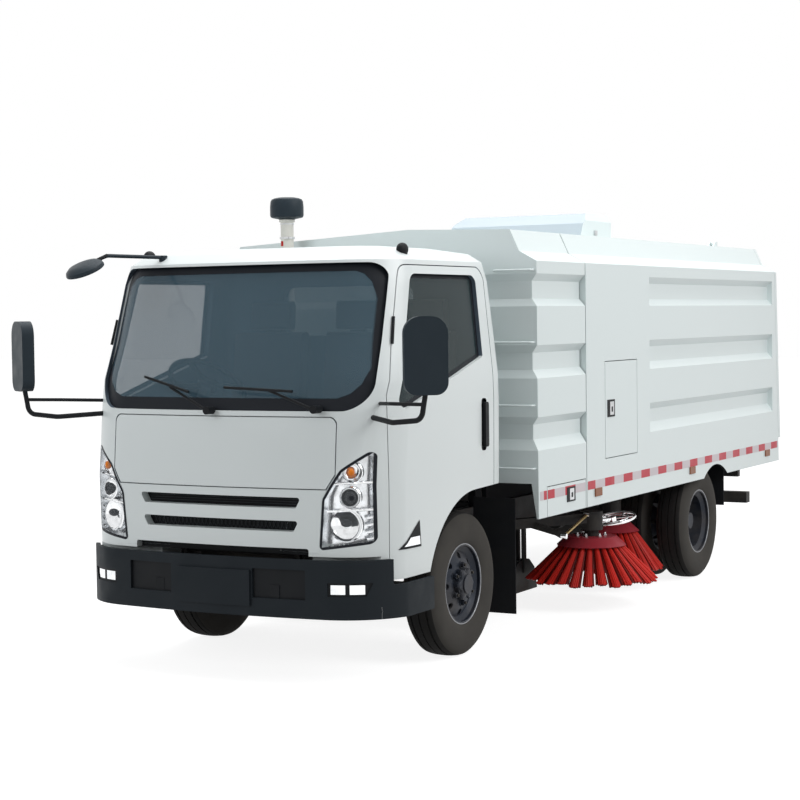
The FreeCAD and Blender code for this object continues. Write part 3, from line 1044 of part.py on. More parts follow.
def guard_ring(x, y):
    """Polished double ring on spokes, its hub carried by a bar from the brush motor at x, y."""
    shape = [Part.makeTorus(GUARD_RADIUS, GUARD_TUBE), Part.makeTorus(GUARD_INNER, 6.0),
             Part.makeCylinder(24.0, 30.0, Vector(0, 0, -15.0))]
    for i in range(6):
        angle = math.radians(60.0 * i + 15.0)
        start = 10.0 if i % 2 == 0 else GUARD_INNER
        shape.append(rod(5.0, (start * math.cos(angle), start * math.sin(angle), 0),
                         (GUARD_RADIUS * math.cos(angle), GUARD_RADIUS * math.sin(angle), 0)))
    shape = join(shape)
    shape.rotate(Vector(0, 0, 0), Vector(GUARD_AT[1], -GUARD_AT[0], 0), GUARD_TILT)
    centre = Vector(x + GUARD_AT[0], y + GUARD_AT[1], GUARD_AT[2])
    shape.translate(centre)
    return [shape, rod(13.0, (x, y, centre.z), (centre.x, centre.y, centre.z))]


def front_brush_arm():
    """Arm that lowers the left front brush, with the motor head, the guard ring and the strut."""
    x, y = FRONT_BRUSH[0], FRONT_BRUSH[1]
    out = 500.0
    pieces = [rod(42.0, (RAIL_OUT + 10.0, FRONT_ARM_Y, FRONT_ARM_Z), (out, FRONT_ARM_Y, FRONT_ARM_Z)),
              along_z([(430.0, FRONT_ARM_Y), (out, FRONT_ARM_Y), (x + 40.0, y), (x - 40.0, y)], 520.0, 580.0),
              rod(HEAD_RADIUS, (x, y, HEAD_Z), (x, y, 590.0))]
    pieces += guard_ring(x, y)
    low_y, low_z = STRUT_LOW
    high_y, high_z = STRUT_HIGH
    pieces.append(along_y([(545.0, 522.0), (x + 18.0, low_z - 16.0), (x + 18.0, low_z + 14.0), (560.0, 560.0)],
                          low_y - 8.0, low_y + 8.0))
    pieces.append(rod(STRUT_RADIUS, (x, low_y, low_z), (x, high_y, high_z)))
    for end_y, end_z in (STRUT_LOW, STRUT_HIGH):
        pieces.append(rod(14.0, (x - 18.0, end_y, end_z), (x + 18.0, end_y, end_z)))
    bore = rod(ARM_PIN + RUN_GAP, (RAIL_OUT, FRONT_ARM_Y, FRONT_ARM_Z), (out + 10.0, FRONT_ARM_Y, FRONT_ARM_Z))
    return join(pieces).cut(bore)


def rear_brush_arm():
    """Arm that lowers the left rear brush, hinged beside the rail."""
    x, y = REAR_BRUSH[0], REAR_BRUSH[1]
    arm = join([rod(38.0, (REAR_ARM_X, y - 50.0, REAR_ARM_Z), (REAR_ARM_X, y + 50.0, REAR_ARM_Z)),
                box(REAR_ARM_X, x, y - 40.0, y + 40.0, 510.0, 545.0),
                rod(HEAD_RADIUS, (x, y, HEAD_Z), (x, y, 580.0))])
    return arm.cut(rod(ARM_PIN + RUN_GAP, (REAR_ARM_X, y - 80.0, REAR_ARM_Z), (REAR_ARM_X, y + 80.0, REAR_ARM_Z)))


def suction_nozzle():
    """Low wide mouth between the front brushes, its duct to the hopper and its hangers."""
    x, y, bore = NOZZLE
    mouth = along_x([(y - 200.0, 60.0), (y + 200.0, 60.0), (y + 160.0, 200.0), (y + 80.0, 260.0),
                     (y - 80.0, 260.0), (y - 160.0, 200.0)], -325.0, 325.0)
    mouth = mouth.cut(along_x([(y - 170.0, 50.0), (y + 170.0, 50.0), (y + 130.0, 190.0), (y - 130.0, 190.0)],
                              -300.0, 300.0))
    mouth = mouth.cut(rod(bore, (x, y, 100.0), (x, y, 400.0)))
    duct = tube(bore + 10.0, bore, (x, y, 240.0), (x, y, BODY_FLOOR - PANEL_GAP))
    hangers = [side_box(side, 313.0, 333.0, y - 20.0, y + 20.0, 180.0, RAIL_LOW - SEAT_GAP) for side in (-1.0, 1.0)]
    return join([mouth, duct] + hangers)


def build_sweeping(parts):
    left = {"front_brush": brush(FRONT_BRUSH, 150.0, 215.0), "rear_brush": brush(REAR_BRUSH, 120.0, 190.0),
            "front_brush_arm": front_brush_arm(), "rear_brush_arm": rear_brush_arm()}
    for name, shape in left.items():
        parts[name + "_left"] = shape
        parts[name + "_right"] = mirrored(shape)
    parts["suction_nozzle"] = suction_nozzle()


def build_hoist(parts):
    base = Vector(0, HOIST_BASE[0], HOIST_BASE[1])
    eye = Vector(0, HOIST_EYE[0], HOIST_EYE[1])
    line = eye - base
    length = line.Length
    line.normalize()

    def along(radius, start, end):
        return Part.makeCylinder(radius, end - start, base + line * start, line)

    def lug(radius, centre):
        return Part.makeCylinder(radius, 56.0, centre - Vector(28.0, 0, 0), Vector(1, 0, 0))

    barrel = join([along(46.0, 50.0, 800.0), lug(28.0, base), along(24.0, 0.0, 60.0)])
    barrel = barrel.cut(along(HOIST_BORE + RUN_GAP, 90.0, 810.0))
    barrel = barrel.cut(rod(HOIST_PIN + RUN_GAP, (-60.0, base.y, base.z), (60.0, base.y, base.z)))
    parts["hoist_barrel"] = barrel
    piston = join([along(HOIST_BORE, 120.0, length - 20.0), lug(30.0, eye)])
    parts["hoist_rod"] = piston.cut(rod(HOIST_PIN + 2.0, (-60.0, eye.y, eye.z), (60.0, eye.y, eye.z)))


def main():
    os.makedirs("parts", exist_ok=True)
    parts = {}
    build_cab(parts)
    build_cab_fittings(parts)
    build_bumper(parts)
    build_frame(parts)
    build_axles(parts)
    build_wheels(parts)
    build_drive(parts)
    build_body(parts)
    build_sweeping(parts)
    build_hoist(parts)
    low = Vector(1e9, 1e9, 1e9)
    high = Vector(-1e9, -1e9, -1e9)
    for name, shape in parts.items():
        moved = shape.copy()
        moved.translate(Vector(0, ORIGIN_SHIFT, 0))
        bounds = moved.BoundBox
        print("%-20s valid %s solids %d volume %.4f m3  x %.0f..%.0f  y %.0f..%.0f  z %.0f..%.0f" % (
            name, moved.isValid(), len(moved.Solids), moved.Volume / 1e9, bounds.XMin, bounds.XMax, bounds.YMin,
            bounds.YMax, bounds.ZMin, bounds.ZMax))
        low = Vector(min(low.x, bounds.XMin), min(low.y, bounds.YMin), min(low.z, bounds.ZMin))
        high = Vector(max(high.x, bounds.XMax), max(high.y, bounds.YMax), max(high.z, bounds.ZMax))
        moved.exportStep("parts/" + name + ".step")
    print("whole", low, high)


main()
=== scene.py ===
import json
import math
import random

import bmesh
import bpy
from mathutils import Matrix, Vector

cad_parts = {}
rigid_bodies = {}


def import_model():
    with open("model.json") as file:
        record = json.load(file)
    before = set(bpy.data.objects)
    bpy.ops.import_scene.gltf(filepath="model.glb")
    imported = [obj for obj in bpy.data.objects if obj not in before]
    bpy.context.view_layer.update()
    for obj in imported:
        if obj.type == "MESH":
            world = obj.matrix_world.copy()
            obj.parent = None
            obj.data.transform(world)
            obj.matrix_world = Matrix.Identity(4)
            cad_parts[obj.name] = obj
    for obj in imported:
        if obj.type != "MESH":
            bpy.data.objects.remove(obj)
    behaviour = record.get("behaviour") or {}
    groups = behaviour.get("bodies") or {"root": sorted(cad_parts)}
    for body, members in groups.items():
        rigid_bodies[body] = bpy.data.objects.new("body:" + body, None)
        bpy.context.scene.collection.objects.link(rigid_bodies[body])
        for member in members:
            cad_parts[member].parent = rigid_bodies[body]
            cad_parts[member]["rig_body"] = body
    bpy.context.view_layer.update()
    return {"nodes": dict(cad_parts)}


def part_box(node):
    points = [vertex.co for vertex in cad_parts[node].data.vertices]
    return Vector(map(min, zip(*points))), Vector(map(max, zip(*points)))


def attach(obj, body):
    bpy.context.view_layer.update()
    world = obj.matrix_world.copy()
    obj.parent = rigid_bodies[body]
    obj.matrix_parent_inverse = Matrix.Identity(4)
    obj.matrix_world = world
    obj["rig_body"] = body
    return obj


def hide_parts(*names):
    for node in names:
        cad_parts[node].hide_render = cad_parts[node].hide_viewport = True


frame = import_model()

bl_info = {
    "name": "Street Sweeper Truck",
    "version": (1, 0, 0),
    "blender": (4, 5, 0),
    "location": "3D View > Sidebar > Sweeper",
    "description": "Dresses a street sweeper truck: cab, ribbed body, wheels and brushes",
    "category": "Object",
}

# Places that pieces share, worked out from the frame: metres, front towards -Y, left towards +X

SHELL_LOW, SHELL_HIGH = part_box("cab_shell")
FRONT_RIM_LOW, FRONT_RIM_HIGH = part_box("front_rim_left")
FRONT_AXLE_Y = (FRONT_RIM_LOW.y + FRONT_RIM_HIGH.y) / 2
REAR_RIM_LOW, REAR_RIM_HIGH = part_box("rear_rims_left")
REAR_AXLE_Y = (REAR_RIM_LOW.y + REAR_RIM_HIGH.y) / 2
AXLE_Z = (FRONT_RIM_LOW.z + FRONT_RIM_HIGH.z) / 2
BODY_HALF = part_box("hopper")[1].x

SIDES = {"left": 1.0, "right": -1.0}
ACROSS = Vector((1.0, 0.0, 0.0))
UP = Vector((0.0, 0.0, 1.0))

# Vertices this close are merged, faces this even are joined, a cut this close to a vertex meets it, and a
# place this little in front of a plane counts as behind it
SAME_PLACE = 0.00005
SAME_PLANE = math.radians(0.5)
ON_CUT = 0.00001
ON_PLANE = 0.0005


def row_y(y):
    """A distance behind the front axle as a y of the frame."""
    return FRONT_AXLE_Y + y


def spot(place):
    """A place as x, distance behind the front axle and z, in the frame."""
    return Vector((place[0], row_y(place[1]), place[2]))


def level(z):
    """The plane at height z, facing up."""
    return Vector((0.0, 0.0, z)), UP


def upright(x):
    """The plane at x, facing left."""
    return Vector((x, 0.0, 0.0)), ACROSS


def between(value, span):
    return span[0] < value < span[1]


# Bodies as the imported record gives them

def body_of(node):
    return frame["nodes"][node]["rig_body"]


# Material nodes

# The colour sockets of a mix node, and the range that most of a noise lies in
MIX_A, MIX_B, MIX_RESULT = 6, 7, 2
NOISE_LOW, NOISE_HIGH = 0.3, 0.7


class Finish:
    """A material being built: its node tree, its shader and the object coordinates its patterns read."""

    def __init__(self, name, colour, roughness, metallic=0.0, shine=0.5):
        self.material = bpy.data.materials.new(name)
        self.material.use_nodes = True
        self.material.diffuse_color = (*colour, 1.0)
        self.nodes = self.material.node_tree.nodes
        self.links = self.material.node_tree.links
        self.shader = self.nodes["Principled BSDF"]
        self.shader.inputs["Base Color"].default_value = (*colour, 1.0)
        self.shader.inputs["Roughness"].default_value = roughness
        self.shader.inputs["Metallic"].default_value = metallic
        self.shader.inputs["Specular IOR Level"].default_value = shine
        self.place = self.nodes.new("ShaderNodeTexCoord").outputs["Object"]

    def join(self, start, end):
        self.links.new(start, end)

    def noise(self, scale, detail):
        made = self.nodes.new("ShaderNodeTexNoise")
        made.inputs["Scale"].default_value = scale
        made.inputs["Detail"].default_value = detail
        self.join(self.place, made.inputs["Vector"])
        return made.outputs["Fac"]

    def ramp(self, value, low, high, start=0.0, end=1.0):
        """value taken from low..high to start..end, held at both ends."""
        made = self.nodes.new("ShaderNodeMapRange")
        made.inputs["From Min"].default_value = low
        made.inputs["From Max"].default_value = high
        made.inputs["To Min"].default_value = start
        made.inputs["To Max"].default_value = end
        self.join(value, made.inputs["Value"])
        return made.outputs["Result"]

    def maths(self, operation, a, b):
        """a and b joined by an operation; each is a number or an output."""
        made = self.nodes.new("ShaderNodeMath")
        made.operation = operation
        for socket, value in zip(made.inputs, (a, b)):
            if isinstance(value, float):
                socket.default_value = value
            else:
                self.join(value, socket)
        return made.outputs["Value"]

    def axis(self, letter):
        made = self.nodes.new("ShaderNodeSeparateXYZ")
        self.join(self.place, made.inputs["Vector"])
        return made.outputs[letter]

    def blend(self, mask, a, b):
        """Colour a where mask is 0 and b where it is 1; each is a colour or an output."""
        made = self.nodes.new("ShaderNodeMix")
        made.data_type = "RGBA"
        self.join(mask, made.inputs["Factor"])
        for socket, value in ((made.inputs[MIX_A], a), (made.inputs[MIX_B], b)):
            if isinstance(value, tuple):
                socket.default_value = (*value, 1.0)
            else:
                self.join(value, socket)
        return made.outputs[MIX_RESULT]

    def colour(self, output):
        self.join(output, self.shader.inputs["Base Color"])

    def rough(self, value, low, high):
        self.join(self.ramp(value, NOISE_LOW, NOISE_HIGH, low, high), self.shader.inputs["Roughness"])

    def bump(self, height, strength, depth):
        made = self.nodes.new("ShaderNodeBump")
        made.inputs["Strength"].default_value = strength
        made.inputs["Distance"].default_value = depth
        self.join(height, made.inputs["Height"])
        self.join(made.outputs["Normal"], self.shader.inputs["Normal"])

    def coat(self, weight, roughness):
        self.shader.inputs["Coat Weight"].default_value = weight
        self.shader.inputs["Coat Roughness"].default_value = roughness


ROAD_DUST = (0.47, 0.44, 0.39)
DRY_DUST = (0.17, 0.155, 0.135)
CHASSIS_DIRT = (0.12, 0.105, 0.09)
PALE_WEAR = 0.30
DUST_FADE = 0.55


def paint(name, colour, dust_top, dust_share=0.10):
    """Smooth gloss paint with a very thin film of road dust, which sets in from dust_top downwards."""
    finish = Finish(name, colour, 0.34)
    clouds = finish.noise(1.2, 2.0)
    height = finish.ramp(finish.axis("Z"), dust_top, dust_top - DUST_FADE)
    patches = finish.ramp(clouds, NOISE_LOW, NOISE_HIGH, 0.2 * dust_share, dust_share)
    finish.colour(finish.blend(finish.maths("MULTIPLY", height, patches), colour, ROAD_DUST))
    finish.rough(clouds, 0.30, 0.38)
    finish.coat(0.15, 0.15)
    return finish.material


def plastic(name, colour, roughness, grain, dust):
    """Grained moulded plastic, a little paler in patches."""
    finish = Finish(name, colour, roughness, shine=0.15)
    wear = finish.noise(9.0, 4.0)
    pale = tuple(c + (PALE_WEAR - c) * dust for c in colour)
    finish.colour(finish.blend(finish.ramp(wear, 0.45, 0.75), colour, pale))
    finish.rough(wear, roughness - 0.08, roughness + 0.12)
    finish.bump(finish.noise(grain, 2.0), 0.12, 0.0005)
    return finish.material


def rubber(name, colour, dust_share):
    """Dull rubber with dry dust in patches."""
    finish = Finish(name, colour, 0.85, shine=0.12)
    patches = finish.noise(6.0, 6.0)
    finish.colour(finish.blend(finish.ramp(patches, 0.4, 0.85, 0.0, dust_share), colour, DRY_DUST))
    finish.rough(patches, 0.75, 0.92)
    finish.bump(finish.noise(180.0, 3.0), 0.3, 0.0008)
    return finish.material


def iron(name, colour, roughness):
    """Painted or cast chassis metal with dirt and a rough skin."""
    finish = Finish(name, colour, roughness, 0.12, 0.2)
    dirt = finish.noise(5.0, 6.0)
    finish.colour(finish.blend(finish.ramp(dirt, 0.45, 0.8, 0.0, 0.6), colour, CHASSIS_DIRT))
    finish.rough(dirt, roughness - 0.1, roughness + 0.2)
    finish.bump(finish.noise(90.0, 4.0), 0.3, 0.001)
    return finish.material


def bright_metal(name, colour, roughness):
    finish = Finish(name, colour, roughness, 1.0)
    wear = finish.noise(30.0, 3.0)
    finish.colour(finish.blend(finish.ramp(wear, 0.4, 0.7), colour, tuple(c * 0.85 for c in colour)))
    finish.rough(wear, roughness * 0.8, roughness * 1.3)
    return finish.material


def glass(name, colour, alpha):
    """Tinted glass seen as a thin dark film, so that it also shows in an exported model."""
    finish = Finish(name, colour, 0.03, shine=0.35)
    finish.shader.inputs["Alpha"].default_value = alpha
    smears = finish.noise(4.0, 3.0)
    finish.rough(smears, 0.02, 0.06)
    return finish.material


def cloth(name, colour):
    finish = Finish(name, colour, 0.9)
    weave = finish.noise(900.0, 1.0)
    finish.colour(finish.blend(finish.ramp(weave, 0.3, 0.7), tuple(c * 0.7 for c in colour), colour))
    finish.bump(weave, 0.4, 0.0008)
    finish.shader.inputs["Sheen Weight"].default_value = 0.3
    return finish.material


FINISHES = {}
# The hood's front slope takes the body paint darkened by these shares, as painted shade.
HOOD_SHADE = (0.56, 0.60, 0.66)
# Bristles at the edges and back of each bundle take the red darkened by these shares, as painted shade
# between bundles.
BRISTLE_SHADE = (0.30, 0.30, 0.30)


def shaded(colour, shares):
    return tuple(c * share for c, share in zip(colour, shares))


def make_finishes(tints):
    """Every finish of the truck, by name; tints is the group of colours the user can change."""
    white, body_white, red = tuple(tints.cab_white), tuple(tints.body_white), tuple(tints.bristle_red)
    FINISHES.update({
        "cab white": paint("cab_white", white, 0.95),
        "body white": paint("body_white", body_white, 0.95),
        "bumper plastic": plastic("bumper_plastic", (0.009, 0.0125, 0.016), 0.55, 260.0, 0.01),
        "black plastic": plastic("black_plastic", (0.006, 0.007, 0.0085), 0.5, 320.0, 0.01),
        "mesh grey": plastic("mesh_grey", (0.030, 0.033, 0.037), 0.5, 320.0, 0.0),
        "black gloss": plastic("black_gloss", (0.010, 0.012, 0.016), 0.45, 320.0, 0.01),
        "slate plastic": plastic("slate_plastic", (0.018, 0.027, 0.035), 0.42, 320.0, 0.01),
        "trim grey": plastic("trim_grey", (0.115, 0.150, 0.190), 0.7, 260.0, 0.03),
        "dash grey": plastic("dash_grey", (0.085, 0.105, 0.125), 0.7, 260.0, 0.03),
        "chassis black": iron("chassis_black", (0.018, 0.018, 0.019), 0.5),
        "cast black": iron("cast_black", (0.028, 0.027, 0.026), 0.65),
        "tyre": rubber("tyre_rubber", (0.016, 0.016, 0.016), 0.15),
        "flap rubber": rubber("flap_rubber", (0.011, 0.012, 0.014), 0.06),
        "seal rubber": rubber("seal_rubber", (0.010, 0.010, 0.011), 0.1),
        "rim paint": iron("rim_paint", (0.018, 0.023, 0.034), 0.40),
        "rim edge": bright_metal("rim_edge", (0.26, 0.265, 0.28), 0.42),
        "bright steel": bright_metal("bright_steel", (0.62, 0.63, 0.64), 0.3),
        "chrome": bright_metal("lamp_chrome", (0.90, 0.91, 0.92), 0.07),
        "brass": bright_metal("strut_brass", (0.55, 0.42, 0.20), 0.4),
        "window glass": glass("window_glass", (0.080, 0.145, 0.190), 0.45),
        "door glass": glass("door_glass", (0.070, 0.100, 0.105), 0.30),
        "lamp glass": glass("lamp_glass", (0.80, 0.84, 0.87), 0.08),
        "seat cloth": cloth("seat_cloth", (0.085, 0.090, 0.105)),
        "bristle red": plastic("bristle_red", red, 0.42, 500.0, 0.0),
        "disc red": plastic("disc_red", (0.34, 0.032, 0.045), 0.36, 200.0, 0.02),
        # Darker red for the bundles' edges and back rows, as painted shade between bundles
        "bristle painted shade": plastic("bristle_painted_shade", shaded(red, BRISTLE_SHADE), 0.5, 500.0, 0.0),
        # Body paint darkened for the hood's front slope, as painted shade
        "hood painted shade": paint("hood_painted_shade", shaded(body_white, HOOD_SHADE), 0.95),
        "mast white": paint("mast_white", (0.66, 0.65, 0.60), 2.6, 0.3),
        "side wall": rubber("side_wall", (0.052, 0.049, 0.045), 0.2),
        "lamp silver": bright_metal("lamp_silver", (0.86, 0.88, 0.90), 0.22),
        "mirror glass": bright_metal("mirror_glass", (0.80, 0.82, 0.84), 0.03),
        "amber": plastic("lamp_amber", (0.80, 0.22, 0.02), 0.2, 200.0, 0.0),
        "marker": plastic("marker_amber", (0.26, 0.105, 0.055), 0.35, 200.0, 0.0),
        "tail red": plastic("lamp_red", (0.45, 0.015, 0.012), 0.2, 200.0, 0.0),
        "tape red": plastic("tape_red", (0.50, 0.052, 0.072), 0.4, 200.0, 0.0),
        "tape white": plastic("tape_white", (0.62, 0.56, 0.585), 0.4, 200.0, 0.0),
    })


# Pieces

def piece(name, mesh, body, finishes, bevel=0.0, segments=2, angle=30.0, parts=()):
    """A mesh object made from a bmesh, riding on a body, with its finishes in order."""
    for edge in mesh.edges:
        bent = len(edge.link_faces) == 2 and edge.calc_face_angle(0.0) > math.radians(angle)
        edge.smooth = not bent
    for face in mesh.faces:
        face.smooth = True
    data = bpy.data.meshes.new(name)
    mesh.to_mesh(data)
    mesh.free()
    made = bpy.data.objects.new(name, data)
    bpy.context.scene.collection.objects.link(made)
    for item in finishes:
        data.materials.append(FINISHES[item])
    if bevel > 0:
        modifier = made.modifiers.new("soft_edges", "BEVEL")
        modifier.width = bevel
        modifier.segments = segments
        modifier.limit_method = "ANGLE"
        modifier.angle_limit = math.radians(angle)
        modifier.harden_normals = True
    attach(made, body)
    if parts:
        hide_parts(*parts)
    return made


def node_mesh(node):
    """A merged copy of a CAD node's mesh."""
    mesh = bmesh.new()
    mesh.from_mesh(frame["nodes"][node].data)
    bmesh.ops.remove_doubles(mesh, verts=mesh.verts, dist=SAME_PLACE)
    bmesh.ops.dissolve_limit(mesh, angle_limit=SAME_PLANE, verts=mesh.verts, edges=mesh.edges)
    return mesh


def split(mesh, planes, clear_outer=False):
    """Cuts a mesh along planes, each a point and a normal; clear_outer drops what lies in front of them."""
    for point, normal in planes:
        parts = list(mesh.verts) + list(mesh.edges) + list(mesh.faces)
        bmesh.ops.bisect_plane(mesh, geom=parts, dist=ON_CUT, plane_co=point, plane_no=normal,
                               clear_outer=clear_outer)


def dressed(node, mesh, finishes, bevel=0.0, segments=2, angle=30.0):
    """A mesh in the place of a CAD node, on its body."""
    return piece(node + "_dressed", mesh, body_of(node), finishes, bevel, segments, angle,
                 (node,))


def dress(node, finishes, bevel=0.002, sort=None, angle=30.0, segments=2, planes=()):
    """A soft-edged copy of a CAD node, cut along planes; sort gives a face's place among the finishes."""
    mesh = node_mesh(node)
    split(mesh, planes)
    if sort:
        for face in mesh.faces:
            face.material_index = sort(face)
    return dressed(node, mesh, finishes, bevel, segments, angle)


def within(place, planes):
    """True where a place is behind all the planes."""
    return all((place - point).dot(normal) < ON_PLANE for point, normal in planes)


def outline_planes(points, axes, inset):
    """Planes through the edges of a convex outline, facing out and moved in; axes are its points' axes."""
    middle = [sum(point[i] for point in points) / len(points) for i in (0, 1)]
    planes = []
    for start, end in zip(points, points[1:] + points[:1]):
        across = [end[1] - start[1], start[0] - end[0]]
        if across[0] * (start[0] - middle[0]) + across[1] * (start[1] - middle[1]) < 0:
            across = [-across[0], -across[1]]
        point, normal = Vector((0, 0, 0)), Vector((0, 0, 0))
        for i in (0, 1):
            point[axes[i]] = start[i]
            normal[axes[i]] = across[i]
        normal.normalize()
        planes.append((point - normal * inset, normal))
    return planes


def patch(name, node, planes, lift, finishes, facing):
    """A thin skin over the part of a CAD node behind planes whose faces look along facing."""
    mesh = node_mesh(node)
    split(mesh, planes, True)
    away = [f for f in mesh.faces if f.normal.dot(Vector(facing)) < 0.4]
    bmesh.ops.delete(mesh, geom=away, context="FACES")
    for vert in mesh.verts:
        vert.co += vert.normal * lift
    piece(name, mesh, body_of(node), finishes)


def number_faces(made, number):
    """Gives the faces of a new shape their place among the piece's finishes."""
    for face in {f for v in made["verts"] for f in v.link_faces}:
        face.material_index = number


def block(mesh, low, high, number=0):
    """A box between two corners, added to a bmesh."""
    size = Vector(high) - Vector(low)
    place = Matrix.Translation((Vector(high) + Vector(low)) / 2) @ Matrix.Diagonal((*size, 1.0))
    number_faces(bmesh.ops.create_cube(mesh, size=1.0, matrix=place), number)


def bar(mesh, start, end, radius, number=0, sides=16, end_radius=None):
    """A round bar from start to end, added to a bmesh."""
    a, b = Vector(start), Vector(end)
    turn = (b - a).to_track_quat("Z", "Y").to_matrix().to_4x4()
    made = bmesh.ops.create_cone(mesh, cap_ends=True, segments=sides, radius1=radius,
                                 radius2=radius if end_radius is None else end_radius,
                                 depth=(b - a).length, matrix=Matrix.Translation((a + b) / 2) @ turn)
    number_faces(made, number)


def ball(mesh, centre, radii, number=0, rings=12):
    """A round or flattened ball, added to a bmesh."""
    place = Matrix.Translation(Vector(centre)) @ Matrix.Diagonal((*radii, 1.0))
    made = bmesh.ops.create_uvsphere(mesh, u_segments=2 * rings, v_segments=rings, radius=1.0, matrix=place)
    number_faces(made, number)


def face_outwards(mesh, before, number):
    """Merges the doubles of the faces added since before, turns them outwards and gives them their finish."""
    seam = {v for f in mesh.faces if f not in before for v in f.verts}
    bmesh.ops.remove_doubles(mesh, verts=list(seam), dist=SAME_PLACE)
    made = [f for f in mesh.faces if f not in before]
    bmesh.ops.recalc_face_normals(mesh, faces=made)
    for face in made:
        face.material_index = number


def turned(mesh, profile, centre, axis, steps, number=0):
    """A profile of (offset along the axis, radius) spun about an axis through centre."""
    along = Vector(axis).normalized()
    out = along.orthogonal().normalized()
    before = set(mesh.faces)
    verts = [mesh.verts.new(Vector(centre) + along * u + out * r) for u, r in profile]
    edges = [mesh.edges.new((verts[i], verts[i + 1])) for i in range(len(verts) - 1)]
    bmesh.ops.spin(mesh, geom=verts + edges, cent=centre, axis=along, angle=2 * math.pi, steps=steps,
                   use_merge=True, use_duplicate=False)
    face_outwards(mesh, before, number)


def mirror_x(mesh):
    """The whole bmesh turned into its image on the other side."""
    bmesh.ops.transform(mesh, matrix=Matrix.Diagonal((-1.0, 1.0, 1.0, 1.0)), verts=mesh.verts)
    bmesh.ops.reverse_faces(mesh, faces=mesh.faces)


# Sizes and colours that a user can change

class TruckTints(bpy.types.PropertyGroup):
    cab_white: bpy.props.FloatVectorProperty(
        name="Cab white", description="Colour of the cab's paint", subtype="COLOR",
        default=(0.700, 0.745, 0.745), min=0.0, max=1.0)
    body_white: bpy.props.FloatVectorProperty(
        name="Body white", description="Colour of the body's paint", subtype="COLOR",
        default=(0.690, 0.760, 0.760), min=0.0, max=1.0)
    bristle_red: bpy.props.FloatVectorProperty(
        name="Bristle red", description="Colour of the brushes", subtype="COLOR",
        default=(0.52, 0.022, 0.015), min=0.0, max=1.0)


class CabSizes(bpy.types.PropertyGroup):
    edge_radius: bpy.props.FloatProperty(
        name="Edge radius", description="Rounding of the cab panels' edges", default=0.004, unit="LENGTH")
    border: bpy.props.FloatProperty(
        name="Screen border", description="Width of the windscreen's black border", default=0.042,
        unit="LENGTH")
    lamp_border: bpy.props.FloatProperty(
        name="Lamp border", description="Width of the headlamps' black border", default=0.014, unit="LENGTH")


class BodySizes(bpy.types.PropertyGroup):
    tape_height: bpy.props.FloatProperty(
        name="Tape height", description="Height of the reflective tape", default=0.05, unit="LENGTH")
    tape_length: bpy.props.FloatProperty(
        name="Tape length", description="Length of one colour of the tape", default=0.15, unit="LENGTH")


class BrushSizes(bpy.types.PropertyGroup):
    bristles: bpy.props.IntProperty(
        name="Bristles", description="Bristles side by side in one bundle", default=7, min=2, max=20)


class StageSizes(bpy.types.PropertyGroup):
    floor_half: bpy.props.FloatProperty(
        name="Floor half width", description="Half the width of the floor", default=60.0, unit="LENGTH")
    lens: bpy.props.FloatProperty(
        name="Lens", description="Focal length of the camera in millimetres", default=84.5)


# Cab, with places as x, distance behind the front axle and height

CAB_FINISHES = ["cab white", "trim grey", "flap rubber", "black plastic"]
# The black finish serves the door handle and, as painted shade, the wall behind the grille's slots.
CAB_PAINT, CAB_TRIM, CAB_UNDERSIDE, CAB_BLACK_AND_SHADE = range(4)
CAB_MIDDLE = Vector((0.0, (SHELL_LOW.y + SHELL_HIGH.y) / 2 + 0.15, 1.5))
CAB_WALL = 0.04
CAB_FLOOR_Z = 0.95
UNDERSIDE_Z = 0.96
ARCH_FRONT_Y = -0.3

# The windscreen's ends, two points of the leaning line where its curved sides begin, and its corners as
# middle x, middle z, radius and 1 at the top or -1 at the bottom
SCREEN_LOW = 1.360
SCREEN_TOP = 2.095
SCREEN_SIDE = ((-0.915, 1.370), (-0.717, 2.010))
SCREEN_CORNERS = ((0.630, 1.575, 0.150, -1.0), (0.630, 1.930, 0.125, 1.0))
CORNER_TURNS = (20.0, 45.0, 70.0)
SCREEN_FRONT_Y = -0.5
LOW_BORDER_SHARE = 1.5
SIDE_BORDER_SHARE = 0.8
LAMP_OUTLINE = [(0.578, 0.676), (0.843, 0.712), (0.843, 1.185), (0.690, 1.075), (0.600, 0.930)]
WINDOW_OUTLINE = [(-0.838, 1.350), (-0.612, 2.038), (0.115, 2.038), (0.106, 1.602)]
WINDOW_BORDER = 0.022

# The wall behind the grille's slots and the black block set in it, both painted shade, and the mesh in front:
# its height, its strands on each side of the middle with their pitch and lean, and its level bars
SLOT_WALL_Y = -1.025
SLOT_WALL_HALF = 0.50
SLOT_WALL_TOP = 0.960
SHADE_BLOCK = ((-0.52, -1.02, 0.655), (0.52, -1.006, 0.960))
MESH_Y = -1.030
MESH_Z = (0.767, 0.816)
STRANDS = 18
MESH_PITCH = 0.024
MESH_LEAN = 0.022
MESH_BARS_Z = (0.896, 0.909, 0.922)
MESH_BARS_HALF = 0.450
STRAND_RADIUS = 0.0018
MESH_BAR_RADIUS = 0.0022

# The sunk door handle, and the door's outer skin round it
HANDLE_X = (0.90, 0.95)
HANDLE_Y = (0.058, 0.124)
HANDLE_Z = (1.098, 1.382)
DOOR_SKIN_X = (0.922, 0.93)

# The vent on the left door's pillar, the side lamp in the door, and the lamp on the roof with its foot as
# low z, high z and radius
VENT_ENDS = ((0.859, -0.801, 1.690), (0.847, -0.763, 1.822))
VENT_RADIUS = 0.0085
SIDE_LAMP = ((-0.846, 0.670), (-0.655, 0.803), (-0.635, 0.667))
SIDE_LAMP_RIM = 0.012
SIDE_LAMP_TOP = 0.722
ROOF_LAMP = (0.785, -0.545, 2.163)
ROOF_LAMP_RADII = (0.028, 0.042, 0.034)
ROOF_LAMP_FOOT = (2.135, 2.160, 0.026)


def mirrored_planes(planes):
    flip = Matrix.Diagonal((-1.0, 1.0, 1.0))
    return [(flip @ point, flip @ normal) for point, normal in planes]


